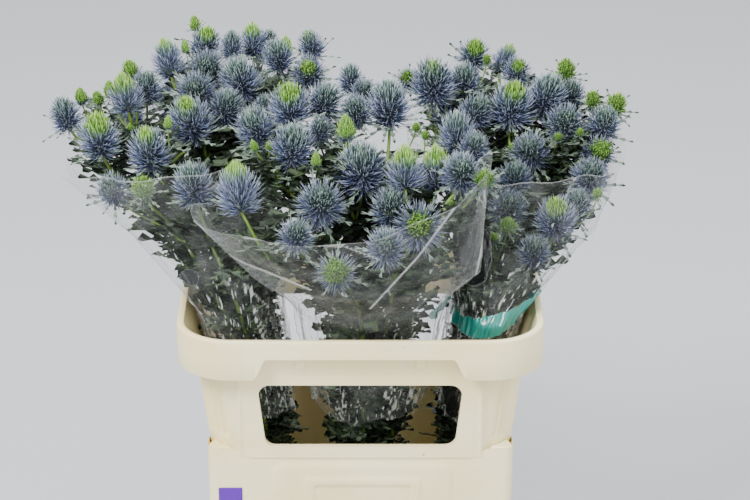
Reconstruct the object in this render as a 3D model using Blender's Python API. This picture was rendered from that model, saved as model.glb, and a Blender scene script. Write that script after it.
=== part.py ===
"""Three sleeved bunches of sea holly that stand in water in a flower bucket with a collar.

Units are metres and +Z is up. The origin is the middle of the bucket's flat underside. +X is the
viewer's right and +Y points away from the viewer, who looks at a long side of the bucket.
"""

import math
from dataclasses import dataclass

import bpy
import numpy as np
from mathutils.bvhtree import BVHTree

# Sizes that all pieces share.
GAP = 0.0003
WALL = 0.003
TINY = 1e-6

# The bucket: outer width and depth, and its corner posts, which rise round the collar's foot.
BUCKET_FOOT = (0.326, 0.232)
BUCKET_RIM = (0.336, 0.242)
BUCKET_HEIGHT = 0.2785
BUCKET_CORNER = 0.010
POST_RISE = 0.0115
POST_FROM = (0.140, 0.094)
POST_HOLLOW_CORNER = 0.046
POST_EDGE = 0.0008
WEB_THICK = 0.006

# The collar: outer width and depth from its foot up, and the skirt that hangs from its rim.
COLLAR_TOP = 0.430
COLLAR_RIM = (0.400, 0.300)
COLLAR_RIM_CORNER = 0.062
COLLAR_FOOT = (0.3352, 0.2412)
COLLAR_FOOT_CORNER = 0.053
COLLAR_WAIST = (0.360, 0.260)
COLLAR_WAIST_CORNER = 0.056
COLLAR_WAIST_HEIGHT = 0.383
SPIGOT_INSET = 0.0034
SPIGOT_DEEP = 0.011
LIP_WIDTH = 0.008
LIP_BEVEL = 0.002
SKIRT_DEEP = 0.046
SKIRT_SHALLOW = 0.022
SKIRT_NOTCH = (0.104, 0.112)
CORNER_STEPS = 3

# The window that goes through both long sides of the collar.
WINDOW_WIDTH = (0.2096, 0.2212)
WINDOW_HEIGHT = (0.293, 0.370)
WINDOW_CORNER = 0.011

# The water, and the plain label at the bucket's front left.
WATER_DEPTH = 0.050
WATER_HOLE_SIDES = 8
WATER_HOLE_SPARE = 1.10
LABEL_WIDTH = 0.026
LABEL_HEIGHT = 0.046
LABEL_LEFT = -0.1565
LABEL_FOOT = 0.1955
LABEL_THICK = 0.0008

# The viewpoint that the heads were placed from: tilt down, focal length in pixels, distance to
# the middle of the front rim, and the pixels of the picture's middle and of that rim.
VIEW_TILT = math.radians(22.0)
VIEW_FOCAL = 2861.0
VIEW_REACH = 3.06
VIEW_MIDDLE = (375.0, 250.0)
RIM_PIXEL = (360.0, 342.0)
PIXELS_PER_METRE = 894.0
VIEW_RIGHT = np.array((1.0, 0.0, 0.0))
VIEW_AHEAD = np.array((0.0, math.cos(VIEW_TILT), -math.sin(VIEW_TILT)))
VIEW_UP = np.array((0.0, math.sin(VIEW_TILT), math.cos(VIEW_TILT)))

# Flower heads: their length over their width, how near two may nest, and their core's share of
# that width and length.
HEAD_SLENDER = 1.15
NEST = 0.84
NEST_ROUNDS = 120
CORE_SHARE = 0.42
CORE_LENGTH = 0.8
CORE_TOP = 0.9
HIDDEN_WIDTH = 40.0
HIDDEN_TIP = (0.0, -15.0)
LARGE_HEAD = 0.046
SMALL_HEAD = 0.032
LARGE_SIDES = 6
USUAL_SIDES = 5
SMALL_SIDES = 4
# Each ring of a core: its height above the head's middle, in widths, and its share of the core.
USUAL_PROFILE = ((-0.32, 0.74), (-0.02, 1.0), (0.28, 0.66))
SMALL_PROFILE = ((-0.30, 0.78), (0.22, 0.86))
# Each row of spines, the lowest first: how high and how far out their tips lie, in widths.
USUAL_SPINES = ((-0.12, 0.50), (0.22, 0.44), (0.56, 0.17))
SMALL_SPINES = ((-0.05, 0.46), (0.48, 0.16))
SPINE_STAGGER = 0.07
BRACT_TIP = (-0.34, 0.70)
CORE_PEAK = 0.46

# Stems: how many in a bunch, their radii, and how they fork.
SPRAYS_IN_BUNCH = 12
GROUP_ROUNDS = 20
STEM_SPREAD = 0.9
STEM_TAPER = 1.2
CURVE_REACH = 0.36
CURVE_STEPS = 3
TWIG_LIFT = np.array((0.0, 0.0, 0.4))
STEM_RADIUS = 0.0024
FORK_RADIUS = 0.0019
TWIG_RADIUS = 0.0014
STEM_SIDES = 4
STEM_KNOTS = (0.160, 0.300, 0.400)
FORK_LOWEST = 0.440
FORK_SPACING = 0.017
FORK_HALF = 0.005
FORK_DROP = 0.035
FORK_LEAN = 0.75
ROUTE_ROUNDS = 90
ROUTE_MARGIN = 0.0022
DRAW_IN_ROUNDS = 20
DRAW_IN_SHARE = 0.80

# Leaves: a whorl of three-lobed blades at each stem's highest fork.
LEAF_LENGTH = 0.050
LEAF_SPREAD = 0.011
LEAF_THICK = 0.0012
LEAF_RISE = 0.55
# Two sections of a leaf: the places of its midrib and of its edge, in lengths, and its half width.
LEAF_SECTIONS = ((0.46, 0.66, LEAF_SPREAD), (0.60, 0.60, LEAF_SPREAD * 0.30))

# Sleeves: a thin film, open above and below.
FILM_THICK = 0.002
FILM_CLEAR = 0.0009
FILM_SIDES = 16
FILM_HEIGHTS = (0.302, 0.432, 0.466, 0.500)
FILM_RISES = (0.5, 1.0)
FILM_MARGIN = 0.008
FILM_OVER = 0.6
FILM_NEAR = 0.5
FILM_STEP = 0.001
# Height and the share of the sleeve's width that the stems take there.
STEM_SHARE = ((0.0, 0.80), (0.30, 0.56), (0.40, 0.62), (0.50, 0.76), (0.60, 0.92), (0.80, 1.0))


@dataclass(frozen=True)
class Bunch:
    """One sleeved bunch.

    heads holds, for each head, the pixel of its middle, the way from there to its tip, and its
    width in pixels. hidden holds the pixel and the depth of heads on the far side. fall gives the
    depth of the lowest and of the highest head, each with its pixel height. sleeve holds height,
    middle x, middle y, half width and half depth, from the stems' feet up. top holds the height
    of the film's edge at its right, back, left and front.
    """

    name: str
    heads: tuple
    hidden: tuple
    fall: tuple
    room: tuple
    sleeve: tuple
    top: tuple


@dataclass
class Head:
    """A flower head: its bunch's number, its middle, the way it points and its width."""

    bunch: int
    centre: np.ndarray
    axis: np.ndarray
    width: float

    def at(self, share):
        """The point on the head's axis this share of its length above its foot."""
        length = self.width * HEAD_SLENDER * CORE_LENGTH
        return self.centre + self.axis * length * (share - 0.5)


BUNCHES = (
    Bunch(
        name="left",
        heads=(
            (65, 115, -3, -15, 36), (81, 97, -1, -9, 20), (99, 136, -2, -22, 44),
            (98, 98, -2, -6, 18), (110, 90, -1, -9, 20), (125, 95, -4, -22, 38),
            (131, 72, -3, -11, 26), (147, 88, 1, -14, 36), (149, 150, -3, -20, 44),
            (143, 188, 0, -8, 30), (168, 123, 0, -9, 14), (190, 120, -4, -20, 48),
            (168, 60, -5, -24, 38), (185, 47, -2, -10, 14), (195, 24, -1, -8, 18),
            (206, 45, 2, -16, 38), (207, 70, 1, -6, 44), (196, 92, 0, -5, 44),
            (240, 80, -5, -18, 44), (232, 47, 0, -15, 30), (253, 42, -1, -19, 34),
            (286, 47, 0, -13, 20), (278, 57, -2, -14, 34), (311, 46, -4, -14, 32),
            (309, 73, -1, -8, 38), (266, 108, 0, -10, 28), (227, 108, 4, -12, 40),
            (193, 185, -3, -19, 44), (112, 190, -3, -9, 36), (130, 128, 0, -4, 11),
            (209, 118, 0, -3, 10), (268, 42, 2, -10, 26),
        ),
        hidden=(
            (92, 132, 0.140), (130, 118, 0.145), (172, 96, 0.162), (214, 84, 0.164),
            (256, 84, 0.162), (292, 92, 0.150), (152, 160, 0.128), (196, 150, 0.144),
            (240, 148, 0.148),
        ),
        fall=((190, -0.050), (24, 0.150)),
        room=(-0.058, 0.172),
        sleeve=(
            (0.008, -0.085, 0.000, 0.030, 0.050), (0.290, -0.112, 0.000, 0.038, 0.078),
            (0.430, -0.138, 0.000, 0.048, 0.112), (0.500, -0.169, 0.040, 0.096, 0.112),
            (0.562, -0.204, 0.055, 0.138, 0.130), (0.720, -0.206, 0.070, 0.148, 0.138),
        ),
        top=(0.598, 0.600, 0.554, 0.590),
    ),
    Bunch(
        name="middle",
        heads=(
            (290, 106, -1, -20, 46), (325, 102, 4, -12, 42), (255, 128, -5, -14, 42),
            (293, 147, 3, -18, 46), (254, 146, -2, -6, 13), (269, 146, 0, -5, 11),
            (316, 160, 0, -14, 16), (238, 190, -4, -28, 48), (320, 130, 2, -8, 30),
            (346, 130, -1, -18, 26), (351, 80, -1, -15, 32), (364, 93, 2, -8, 32),
            (389, 105, -1, -22, 48), (356, 112, -2, -10, 38), (362, 168, -1, -20, 54),
            (321, 203, 1, -9, 50), (296, 236, 2, -8, 38), (336, 272, -1, -3, 42),
            (405, 170, -1, -26, 42), (392, 208, 0, -12, 44), (436, 170, -1, -25, 42),
            (457, 134, -1, -20, 40), (416, 127, 0, -4, 13), (425, 135, 0, -4, 12),
            (474, 148, 2, -10, 34), (462, 173, 0, -8, 44), (484, 180, 1, -5, 30),
            (452, 204, 0, -3, 12), (419, 227, 0, -4, 52), (386, 248, 0, -8, 42),
        ),
        hidden=(),
        fall=((272, -0.205), (80, -0.020)),
        room=(-0.226, 0.040),
        sleeve=(
            (0.008, 0.004, -0.004, 0.040, 0.050), (0.290, 0.008, -0.012, 0.058, 0.066),
            (0.430, 0.010, -0.035, 0.082, 0.092), (0.465, 0.006, -0.080, 0.092, 0.084),
            (0.500, 0.003, -0.110, 0.124, 0.086), (0.590, -0.027, -0.155, 0.160, 0.105),
            (0.720, -0.020, -0.160, 0.166, 0.115),
        ),
        top=(0.640, 0.530, 0.580, 0.585),
    ),
    Bunch(
        name="right",
        heads=(
            (408, 79, 0, -5, 28), (433, 82, -1, -18, 50), (464, 82, -1, -14, 38),
            (474, 54, 2, -12, 36), (487, 59, 0, -4, 13), (505, 60, 8, -18, 30),
            (517, 72, 2, -10, 32), (512, 105, 3, -20, 48), (476, 112, 4, -12, 38),
            (547, 95, 4, -17, 44), (566, 70, 0, -9, 28), (571, 95, 1, -12, 34),
            (593, 99, -1, -7, 22), (616, 105, 2, -9, 30), (604, 124, 0, -12, 38),
            (565, 123, 1, -8, 42), (558, 137, 0, -3, 14), (580, 132, 0, -3, 12),
            (600, 152, 2, -5, 36), (591, 177, 0, -10, 42), (598, 193, 0, -4, 15),
            (512, 148, 0, -4, 14), (530, 152, -3, -8, 42), (515, 178, 0, -12, 36),
            (508, 208, 2, -8, 40), (508, 226, 0, -6, 24), (556, 218, -1, -18, 44),
            (576, 206, 2, -10, 36), (494, 238, 0, -4, 16), (534, 252, 0, -10, 36),
        ),
        hidden=(
            (446, 112, 0.150), (482, 104, 0.160), (520, 104, 0.162), (556, 120, 0.158),
            (590, 140, 0.146), (500, 160, 0.145), (546, 170, 0.140),
        ),
        fall=((252, -0.045), (54, 0.140)),
        room=(-0.060, 0.170),
        sleeve=(
            (0.008, 0.090, 0.000, 0.028, 0.050), (0.290, 0.118, 0.000, 0.034, 0.078),
            (0.430, 0.143, 0.000, 0.040, 0.112), (0.500, 0.172, 0.042, 0.094, 0.112),
            (0.590, 0.177, 0.058, 0.125, 0.132), (0.720, 0.178, 0.068, 0.132, 0.138),
        ),
        top=(0.574, 0.600, 0.600, 0.583),
    ),
)


def unit(vector):
    """The vector at length one."""
    return vector / np.linalg.norm(vector)


def blend(rows, height):
    """The row of numbers at this height, on straight lines between the rows of a table."""
    heights = [row[0] for row in rows]
    return np.array([np.interp(height, heights, column) for column in list(zip(*rows))[1:]])


def sight_ray(px, py):
    """The direction in which a pixel is seen, with a length of one along the view."""
    right = VIEW_RIGHT * (px - VIEW_MIDDLE[0]) / VIEW_FOCAL
    return VIEW_AHEAD + right - VIEW_UP * (py - VIEW_MIDDLE[1]) / VIEW_FOCAL


EYE = np.array((0.0, -COLLAR_RIM[1] / 2, COLLAR_TOP)) - VIEW_REACH * sight_ray(*RIM_PIXEL)


def sight_point(px, py, depth):
    """The point seen at this pixel that has this depth along Y."""
    ray = sight_ray(px, py)
    return EYE + ray * (depth - EYE[1]) / ray[1]


def stem_point(bunch, share, height):
    """The place at this height of a stem whose share of the sleeve is (across, along)."""
    x, y, half_width, half_depth = blend(bunch.sleeve, height)
    tight = blend(STEM_SHARE, height)[0]
    return np.array((x + share[0] * half_width * tight, y + share[1] * half_depth * tight, height))


def sleeve_share(bunch, point):
    """Where a point lies in its sleeve: 1 is on the film."""
    x, y, half_width, half_depth = blend(bunch.sleeve, point[2])
    return np.array(((point[0] - x) / half_width, (point[1] - y) / half_depth))


def film_edge(bunch, angle):
    """The height of a sleeve's upper edge in this direction."""
    right, back, left, front = bunch.top
    across, along = math.cos(angle), math.sin(angle)
    side = right if across > 0 else left
    face = back if along > 0 else front
    return side * across**2 + face * along**2


def way_inside(bunch, place, radius):
    """The step along Y that takes a head, whose middle is below the film's edge, off the film."""
    share = sleeve_share(bunch, place)
    reach = np.linalg.norm(share)
    edge = film_edge(bunch, math.atan2(share[1], share[0]))
    half_width, half_depth = blend(bunch.sleeve, place[2])[2:]
    size = np.linalg.norm(share * (half_width, half_depth)) / max(reach, TINY)
    if reach < FILM_NEAR or place[2] > edge + radius * FILM_OVER or reach + radius / size < 1:
        return 0.0
    return -math.copysign(FILM_STEP, share[1])


def place_heads():
    """All flower heads, moved along their lines of sight until they nest and don't merge."""
    rows = []
    for number, bunch in enumerate(BUNCHES):
        (low, near), (high, far) = bunch.fall
        for px, py, tip_x, tip_y, width in bunch.heads:
            depth = near + (py - low) / (high - low) * (far - near)
            rows.append((number, px, py, tip_x, tip_y, width, depth, 1))
        for px, py, depth in bunch.hidden:
            rows.append((number, px, py, *HIDDEN_TIP, HIDDEN_WIDTH, depth, -1))
    depths = np.array([row[6] for row in rows])
    nearest, farthest = np.array([BUNCHES[row[0]].room for row in rows]).T
    radius = np.array([row[5] for row in rows]) / 2 / PIXELS_PER_METRE
    apart = NEST * (radius[:, None] + radius)
    lighter = radius[None, :] / (radius[:, None] + radius)
    order = np.arange(len(rows))
    for _ in range(NEST_ROUNDS):
        places = np.array([sight_point(row[1], row[2], y) for row, y in zip(rows, depths)])
        distance = np.linalg.norm(places[:, None] - places, axis=2)
        short = np.clip(apart - distance, 0, None)
        np.fill_diagonal(short, 0)
        ahead = np.sign(depths[:, None] - depths + TINY**2 * (order[:, None] - order))
        depths = depths + (ahead * short * lighter).sum(axis=1) / 2
        depths += [way_inside(BUNCHES[row[0]], *pair) for row, *pair in zip(rows, places, radius)]
        depths = np.clip(depths, nearest, farthest)
    heads = []
    for (number, px, py, tip_x, tip_y, width, _, toward), depth in zip(rows, depths):
        centre = sight_point(px, py, depth)
        scale = VIEW_FOCAL / np.dot(centre - EYE, VIEW_AHEAD)
        half_length = HEAD_SLENDER / 2 * width
        lean = math.sqrt(max(0.0, half_length**2 - tip_x**2 - tip_y**2)) * toward
        axis = unit(VIEW_RIGHT * tip_x - VIEW_UP * tip_y - VIEW_AHEAD * lean)
        heads.append(Head(number, centre, axis, width / scale))
    return heads


def group_heads(heads):
    """The heads of each stem: neighbours in a sleeve share one. A list of (bunch, heads)."""
    groups = []
    for number, bunch in enumerate(BUNCHES):
        own = [head for head in heads if head.bunch == number]
        shares = np.array([sleeve_share(bunch, head.centre) for head in own])
        seeds = [shares[np.argmax(np.linalg.norm(shares, axis=1))]]
        while len(seeds) < SPRAYS_IN_BUNCH:
            away = np.min([np.linalg.norm(shares - seed, axis=1) for seed in seeds], axis=0)
            seeds.append(shares[np.argmax(away)])
        seeds = np.array(seeds)
        for _ in range(GROUP_ROUNDS):
            nearest = np.argmin(np.linalg.norm(shares[:, None] - seeds, axis=2), axis=1)
            seeds = np.array([shares[nearest == k].mean(axis=0) for k in range(len(seeds))])
        for k in np.lexsort(seeds.T):
            groups.append((number, [head for head, n in zip(own, nearest) if n == k]))
    return groups


class Routes:
    """The middle lines of all stems and twigs, as points joined by links.

    A head counts as one thick link from its foot to its top, which never moves.
    """

    def __init__(self):
        self.points = []
        self.fixed = []
        self.feet = []
        self.bunch = []
        self.links = []
        self.radii = []

    def add_point(self, place, bunch, fixed=False, foot=False):
        """Adds a point and gives its number. A foot moves over the floor only."""
        self.points.append(place)
        self.bunch.append(bunch)
        self.fixed.append(fixed)
        self.feet.append(foot)
        return len(self.points) - 1

    def add_links(self, chain, radius):
        """Links the points of a chain in turn."""
        for first, second in zip(chain, chain[1:]):
            self.links.append((first, second))
            self.radii.append(radius)

    def settle(self):
        """Moves the loose points until no two links that don't meet come too close."""
        points = np.array(self.points)
        loose = ~np.array(self.fixed)
        links = np.array(self.links)
        radii = np.array(self.radii)
        first, second = np.triu_indices(len(links), 1)
        meet = (links[first][:, :, None] == links[second][:, None, :]).any(axis=(1, 2))
        still = ~loose[links].any(axis=1)
        useful = ~meet & ~(still[first] & still[second])
        first, second = first[useful], second[useful]
        need = radii[first] + radii[second] + ROUTE_MARGIN
        for _ in range(ROUTE_ROUNDS):
            move = np.zeros_like(points)
            a, b = points[links[first, 0]], points[links[first, 1]]
            c, d = points[links[second, 0]], points[links[second, 1]]
            s, t, between = nearest_on_segments(a, b, c, d)
            distance = np.linalg.norm(between, axis=1)
            close = distance < need
            push = between[close] / np.maximum(distance[close], TINY)[:, None]
            push *= (need - distance)[close][:, None] / 2
            for end, share in ((0, 1 - s[close]), (1, s[close])):
                np.add.at(move, links[first[close], end], push * share[:, None])
            for end, share in ((0, 1 - t[close]), (1, t[close])):
                np.add.at(move, links[second[close], end], -push * share[:, None])
            move[self.feet, 2] = 0.0
            points[loose] += move[loose]
            self.keep_in_sleeves(points, loose)
        self.points = list(points)

    def keep_in_sleeves(self, points, loose):
        """Brings loose points that left their sleeve below its edge back inside it."""
        for index in np.nonzero(loose)[0]:
            bunch = BUNCHES[self.bunch[index]]
            share = sleeve_share(bunch, points[index])
            reach = np.linalg.norm(share)
            x, y, half_width, half_depth = blend(bunch.sleeve, points[index][2])
            limit = 1 - FILM_MARGIN / half_width
            edge = film_edge(bunch, math.atan2(share[1], share[0]))
            if reach > limit and points[index][2] < edge + FILM_MARGIN:
                share *= limit / reach
                points[index][0] = x + share[0] * half_width
                points[index][1] = y + share[1] * half_depth


def nearest_on_segments(a, b, c, d):
    """Shares along a-b and c-d of their nearest points, and the way from the second to the first."""
    one, two, apart = b - a, d - c, a - c
    one_one = (one * one).sum(axis=1)
    two_two = (two * two).sum(axis=1)
    one_two = (one * two).sum(axis=1)
    one_apart = (one * apart).sum(axis=1)
    two_apart = (two * apart).sum(axis=1)
    spread = np.maximum(one_one * two_two - one_two**2, TINY**2)
    s = np.clip((one_two * two_apart - one_apart * two_two) / spread, 0, 1)
    t = np.clip((one_two * s + two_apart) / two_two, 0, 1)
    s = np.clip((one_two * t - one_apart) / one_one, 0, 1)
    return s, t, a + one * s[:, None] - c - two * t[:, None]


@dataclass
class Twig:
    """A side branch: its points from its fork on, and its head."""

    chain: list
    head: Head


@dataclass
class Spray:
    """A stem with its heads: its points up to the main head, its forks and its twigs."""

    bunch: int
    chain: list
    forks: list
    main: Head
    twigs: list


def curve_between(start, start_way, end, end_way):
    """Points inside a smooth curve that leaves and arrives in the given directions."""
    reach = np.linalg.norm(end - start) * CURVE_REACH
    near, far = start + unit(start_way) * reach, end - unit(end_way) * reach
    shares = [step / CURVE_STEPS for step in range(1, CURVE_STEPS)]
    return [
        start * (1 - t) ** 3 + near * 3 * t * (1 - t) ** 2 + far * 3 * t**2 * (1 - t) + end * t**3
        for t in shares
    ]


def plan_spray(routes, number, heads):
    """Lays out one stem: straight up its share of the sleeve, with a fork for each side head."""
    bunch = BUNCHES[number]
    shares = [sleeve_share(bunch, head.at(0)) for head in heads]
    share = np.mean(shares, axis=0)
    share *= min(1.0, STEM_SPREAD / max(np.linalg.norm(share), TINY))
    main = max(heads, key=lambda head: head.centre[2] + head.width)
    side_heads = sorted((head for head in heads if head is not main), key=lambda h: h.at(0)[2])
    highest = main.at(0)[2] - FORK_DROP
    forks = []
    for head in side_heads:
        foot = head.at(0)
        beside = np.linalg.norm((foot - stem_point(bunch, share, foot[2]))[:2])
        height = max(foot[2] - FORK_DROP - FORK_LEAN * beside, FORK_LOWEST)
        if forks:
            height = max(height, forks[-1] + FORK_SPACING)
        forks.append(height)
    excess = max([0.0] + [height - highest for height in forks])
    forks = [height - excess for height in forks]
    start = np.array(stem_point(bunch, share, 0.0))
    start[2] = WALL + GAP
    chain = [routes.add_point(start, number, foot=True)]
    knots = [knot for knot in STEM_KNOTS if knot < min(forks + [highest]) - FORK_SPACING]
    for height in knots:
        chain.append(routes.add_point(stem_point(bunch, share, height), number))
    fork_points = []
    for height in forks:
        fork_points.append(routes.add_point(stem_point(bunch, share, height), number))
    chain += fork_points
    last = routes.points[chain[-1]]
    before = routes.points[chain[-2]]
    for place in curve_between(last, last - before, main.at(0), main.axis):
        chain.append(routes.add_point(place, number))
    chain.append(routes.add_point(main.at(0), number, fixed=True))
    routes.add_links(chain, STEM_RADIUS)
    add_head_link(routes, chain[-1], main)
    twigs = []
    for point, head in zip(fork_points, side_heads):
        fork = routes.points[point]
        way = unit(head.at(0) - fork) + TWIG_LIFT
        places = curve_between(fork, way, head.at(0), head.axis)
        twig = [point] + [routes.add_point(place, number) for place in places]
        twig.append(routes.add_point(head.at(0), number, fixed=True))
        routes.add_links(twig, FORK_RADIUS)
        add_head_link(routes, twig[-1], head)
        twigs.append(Twig(twig, head))
    return Spray(number, chain, fork_points, main, twigs)


def add_head_link(routes, foot, head):
    """Adds a head's core as a thick link that starts at its twig's last point."""
    top = routes.add_point(head.at(CORE_TOP), head.bunch, fixed=True)
    routes.links.append((foot, top))
    routes.radii.append(head.width / 2 * CORE_SHARE)


class SprayMesh:
    """Grows one closed mesh: each twig, leaf and spine starts from a face of what carries it."""

    def __init__(self):
        self.points = []
        self.faces = []
        self.tips = []

    def ring(self, centre, along, across, radius, sides=STEM_SIDES, turn=0.0):
        """A ring of new points round centre, counter-clockwise as seen from where along points."""
        beyond = np.cross(along, across)
        numbers = []
        for step in range(sides):
            angle = 2 * math.pi * (step + turn) / sides
            way = math.cos(angle) * across + math.sin(angle) * beyond
            numbers.append(len(self.points))
            self.points.append(centre + way * radius)
        return numbers

    def bridge(self, lower, upper, turn=0.0):
        """Triangles between two rings. turn is the upper ring's start, in its own steps."""
        made = []
        i = j = 0
        while i < len(lower) or j < len(upper):
            lower_first = (i + 1) / len(lower) <= (j + 1 + turn) / len(upper)
            i_next, j_next = (i + 1) % len(lower), (j + 1) % len(upper)
            if j == len(upper) or (i < len(lower) and lower_first):
                made.append((lower[i % len(lower)], lower[i_next], upper[j % len(upper)]))
                i += 1
            else:
                made.append((lower[i % len(lower)], upper[j_next], upper[j % len(upper)]))
                j += 1
        return made

    def cap(self, ring, peak):
        """Triangles from a ring to one new point at peak."""
        self.points.append(peak)
        last = len(self.points) - 1
        return [(a, b, last) for a, b in zip(ring, ring[1:] + ring[:1])]

    def spike(self, face, tip):
        """Raises a face to a point, which may later be drawn in."""
        middle = np.mean([self.points[index] for index in face], axis=0)
        self.points.append(np.array(tip))
        last = len(self.points) - 1
        self.tips.append((last, middle))
        for a, b in zip(face, face[1:] + face[:1]):
            self.faces.append((a, b, last))

    def join(self, lower, upper, open_sides=()):
        """The four sides between two stem rings, and the loops of those left open."""
        loops = {}
        for side in range(STEM_SIDES):
            after = (side + 1) % STEM_SIDES
            corners = [lower[side], lower[after], upper[after], upper[side]]
            if side in open_sides:
                loops[side] = corners
            else:
                self.faces += [tuple(corners[:3]), (corners[0], corners[2], corners[3])]
        return loops

    def middle(self, loop):
        """The middle of a loop of points."""
        return np.mean([self.points[index] for index in loop], axis=0)


def square_to(along, hint):
    """The unit vector nearest to hint that is square to along."""
    return unit(hint - along * np.dot(hint, along))


def grow_tube(mesh, ring, places, across, radii, end_way):
    """Runs a four-sided tube from a ring through places. Gives its last ring and its across."""
    for step, (place, radius) in enumerate(zip(places, radii)):
        ahead = places[step + 1] - place if step + 1 < len(places) else end_way
        behind = place - mesh.middle(ring)
        along = unit(unit(ahead) + unit(behind))
        across = square_to(along, across)
        upper = mesh.ring(place, along, across, radius)
        mesh.join(ring, upper)
        ring = upper
    return ring, across


def grow_head(mesh, ring, across, head):
    """Grows a spiny head from the last ring of its twig: a core in bands of raised spines."""
    width, axis = head.width, head.axis
    small = width < SMALL_HEAD
    sides = SMALL_SIDES if small else LARGE_SIDES if width > LARGE_HEAD else USUAL_SIDES
    profile = SMALL_PROFILE if small else USUAL_PROFILE
    spines = SMALL_SPINES if small else USUAL_SPINES
    core = width / 2 * CORE_SHARE
    across = square_to(axis, across)

    def reach_point(face, reach):
        """The point that lies this high and this far out, in widths, in a face's direction."""
        middle = mesh.middle(face)
        way = square_to(axis, middle - head.centre)
        return head.centre + axis * reach[0] * width + way * reach[1] * width

    lower, turn = ring, 0.0
    for level, (height, share) in enumerate(profile):
        turn += 0.5
        centre = head.centre + axis * height * width
        upper = mesh.ring(centre, axis, across, core * share, sides, turn % 1)
        band = mesh.bridge(lower, upper, 0.5 if turn % 1 else -0.5)
        for face in band:
            on_upper = sum(index in upper for index in face)
            if level:
                high, far = spines[level - 1]
                high += -SPINE_STAGGER if on_upper == 1 else SPINE_STAGGER
                mesh.spike(face, reach_point(face, (high, far)))
            elif on_upper == 2 and not small:
                mesh.spike(face, reach_point(face, BRACT_TIP))
            else:
                mesh.faces.append(face)
        lower = upper
    peak = head.centre + axis * width * CORE_PEAK
    for face in mesh.cap(lower, peak):
        mesh.spike(face, reach_point(face, spines[-1]))


def grow_leaf(mesh, loop, along, up):
    """Grows a thin three-lobed blade from a side of the stem."""
    foot = mesh.middle(loop)
    way = unit(along)
    side = unit(np.cross(up, way))
    rise = unit(np.cross(way, side))
    first = mesh.points[loop[0]] - foot
    ring = loop
    for mid, edge, spread in LEAF_SECTIONS:
        corners = [
            foot + way * LEAF_LENGTH * mid + rise * LEAF_THICK / 2,
            foot + way * LEAF_LENGTH * edge + side * spread,
            foot + way * LEAF_LENGTH * mid - rise * LEAF_THICK / 2,
            foot + way * LEAF_LENGTH * edge - side * spread,
        ]
        corners = in_turn(corners, foot, way, first)
        upper = list(range(len(mesh.points), len(mesh.points) + len(corners)))
        mesh.points += corners
        mesh.tips += [(index, foot) for index in upper]
        mesh.join(ring, upper)
        ring = upper
    tip = foot + way * LEAF_LENGTH + rise * LEAF_THICK
    made = mesh.cap(ring, tip)
    mesh.tips.append((len(mesh.points) - 1, foot))
    mesh.faces += made


def in_turn(corners, foot, way, first):
    """Four corners, counter-clockwise as seen from the blade's tip, from the one nearest first."""
    across = square_to(way, first)
    beyond = np.cross(way, across)

    def angle(corner):
        flat = corner - foot
        return math.atan2(np.dot(flat, beyond), np.dot(flat, across)) % (2 * math.pi)

    ordered = sorted(corners, key=angle)
    turn = min(range(4), key=lambda k: min(angle(ordered[k]), 2 * math.pi - angle(ordered[k])))
    return ordered[turn:] + ordered[:turn]


def grow_fork(mesh, ring, joint, twig, twig_places, leafy):
    """Grows a joint of the stem with its twig and head, and with leaves where it is leafy.

    joint holds the joint's middle, the stem's direction and its across there, and its radius.
    Gives the ring that the stem goes on from.
    """
    place, along, across, radius = joint
    lower = mesh.ring(place - along * FORK_HALF, along, across, radius)
    upper = mesh.ring(place + along * FORK_HALF, along, across, radius)
    mesh.join(ring, lower)
    beyond = np.cross(along, across)
    sides = range(STEM_SIDES)
    turns = [2 * math.pi * (side + 0.5) / STEM_SIDES for side in sides]
    ways = [math.cos(turn) * across + math.sin(turn) * beyond for turn in turns]
    twig_side = max(sides, key=lambda side: np.dot(ways[side], twig_places[0] - place))
    leaf_sides = [side for side in sides if leafy and side != twig_side]
    loops = mesh.join(lower, upper, [twig_side] + leaf_sides)
    loop = loops[twig_side]
    twig_across = mesh.points[loop[0]] - mesh.middle(loop)
    radii = [FORK_RADIUS] * (len(twig_places) - 1) + [TWIG_RADIUS]
    end, end_across = grow_tube(mesh, loop, twig_places, twig_across, radii, twig.head.axis)
    grow_head(mesh, end, end_across, twig.head)
    for side in leaf_sides:
        grow_leaf(mesh, loops[side], ways[side] + along * LEAF_RISE, along)
    return upper


def grow_spray(routes, spray):
    """Builds one stem with its twigs, leaves and heads as a single closed mesh."""
    mesh = SprayMesh()
    places = [routes.points[index] for index in spray.chain]
    up = np.array((0.0, 0.0, 1.0))
    across = np.array((1.0, 0.0, 0.0))
    ring = mesh.ring(places[0], up, across, STEM_RADIUS)
    mesh.faces += [(ring[0], ring[2], ring[1]), (ring[0], ring[3], ring[2])]
    for step, (point, place) in enumerate(zip(spray.chain, places)):
        if step == 0:
            continue
        last = step + 1 == len(places)
        ahead = spray.main.axis if last else unit(places[step + 1] - place)
        along = unit(ahead + unit(place - places[step - 1]))
        across = square_to(along, across)
        taper = min(1.0, place[2] / places[-1][2] * STEM_TAPER)
        radius = TWIG_RADIUS if last else STEM_RADIUS + (FORK_RADIUS - STEM_RADIUS) * taper
        if point in spray.forks:
            twig = spray.twigs[spray.forks.index(point)]
            twig_places = [routes.points[index] for index in twig.chain[1:]]
            joint = (place, along, across, radius)
            ring = grow_fork(mesh, ring, joint, twig, twig_places, point == spray.forks[-1])
        else:
            upper = mesh.ring(place, along, across, radius)
            mesh.join(ring, upper)
            ring = upper
    grow_head(mesh, ring, across, spray.main)
    return mesh


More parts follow.
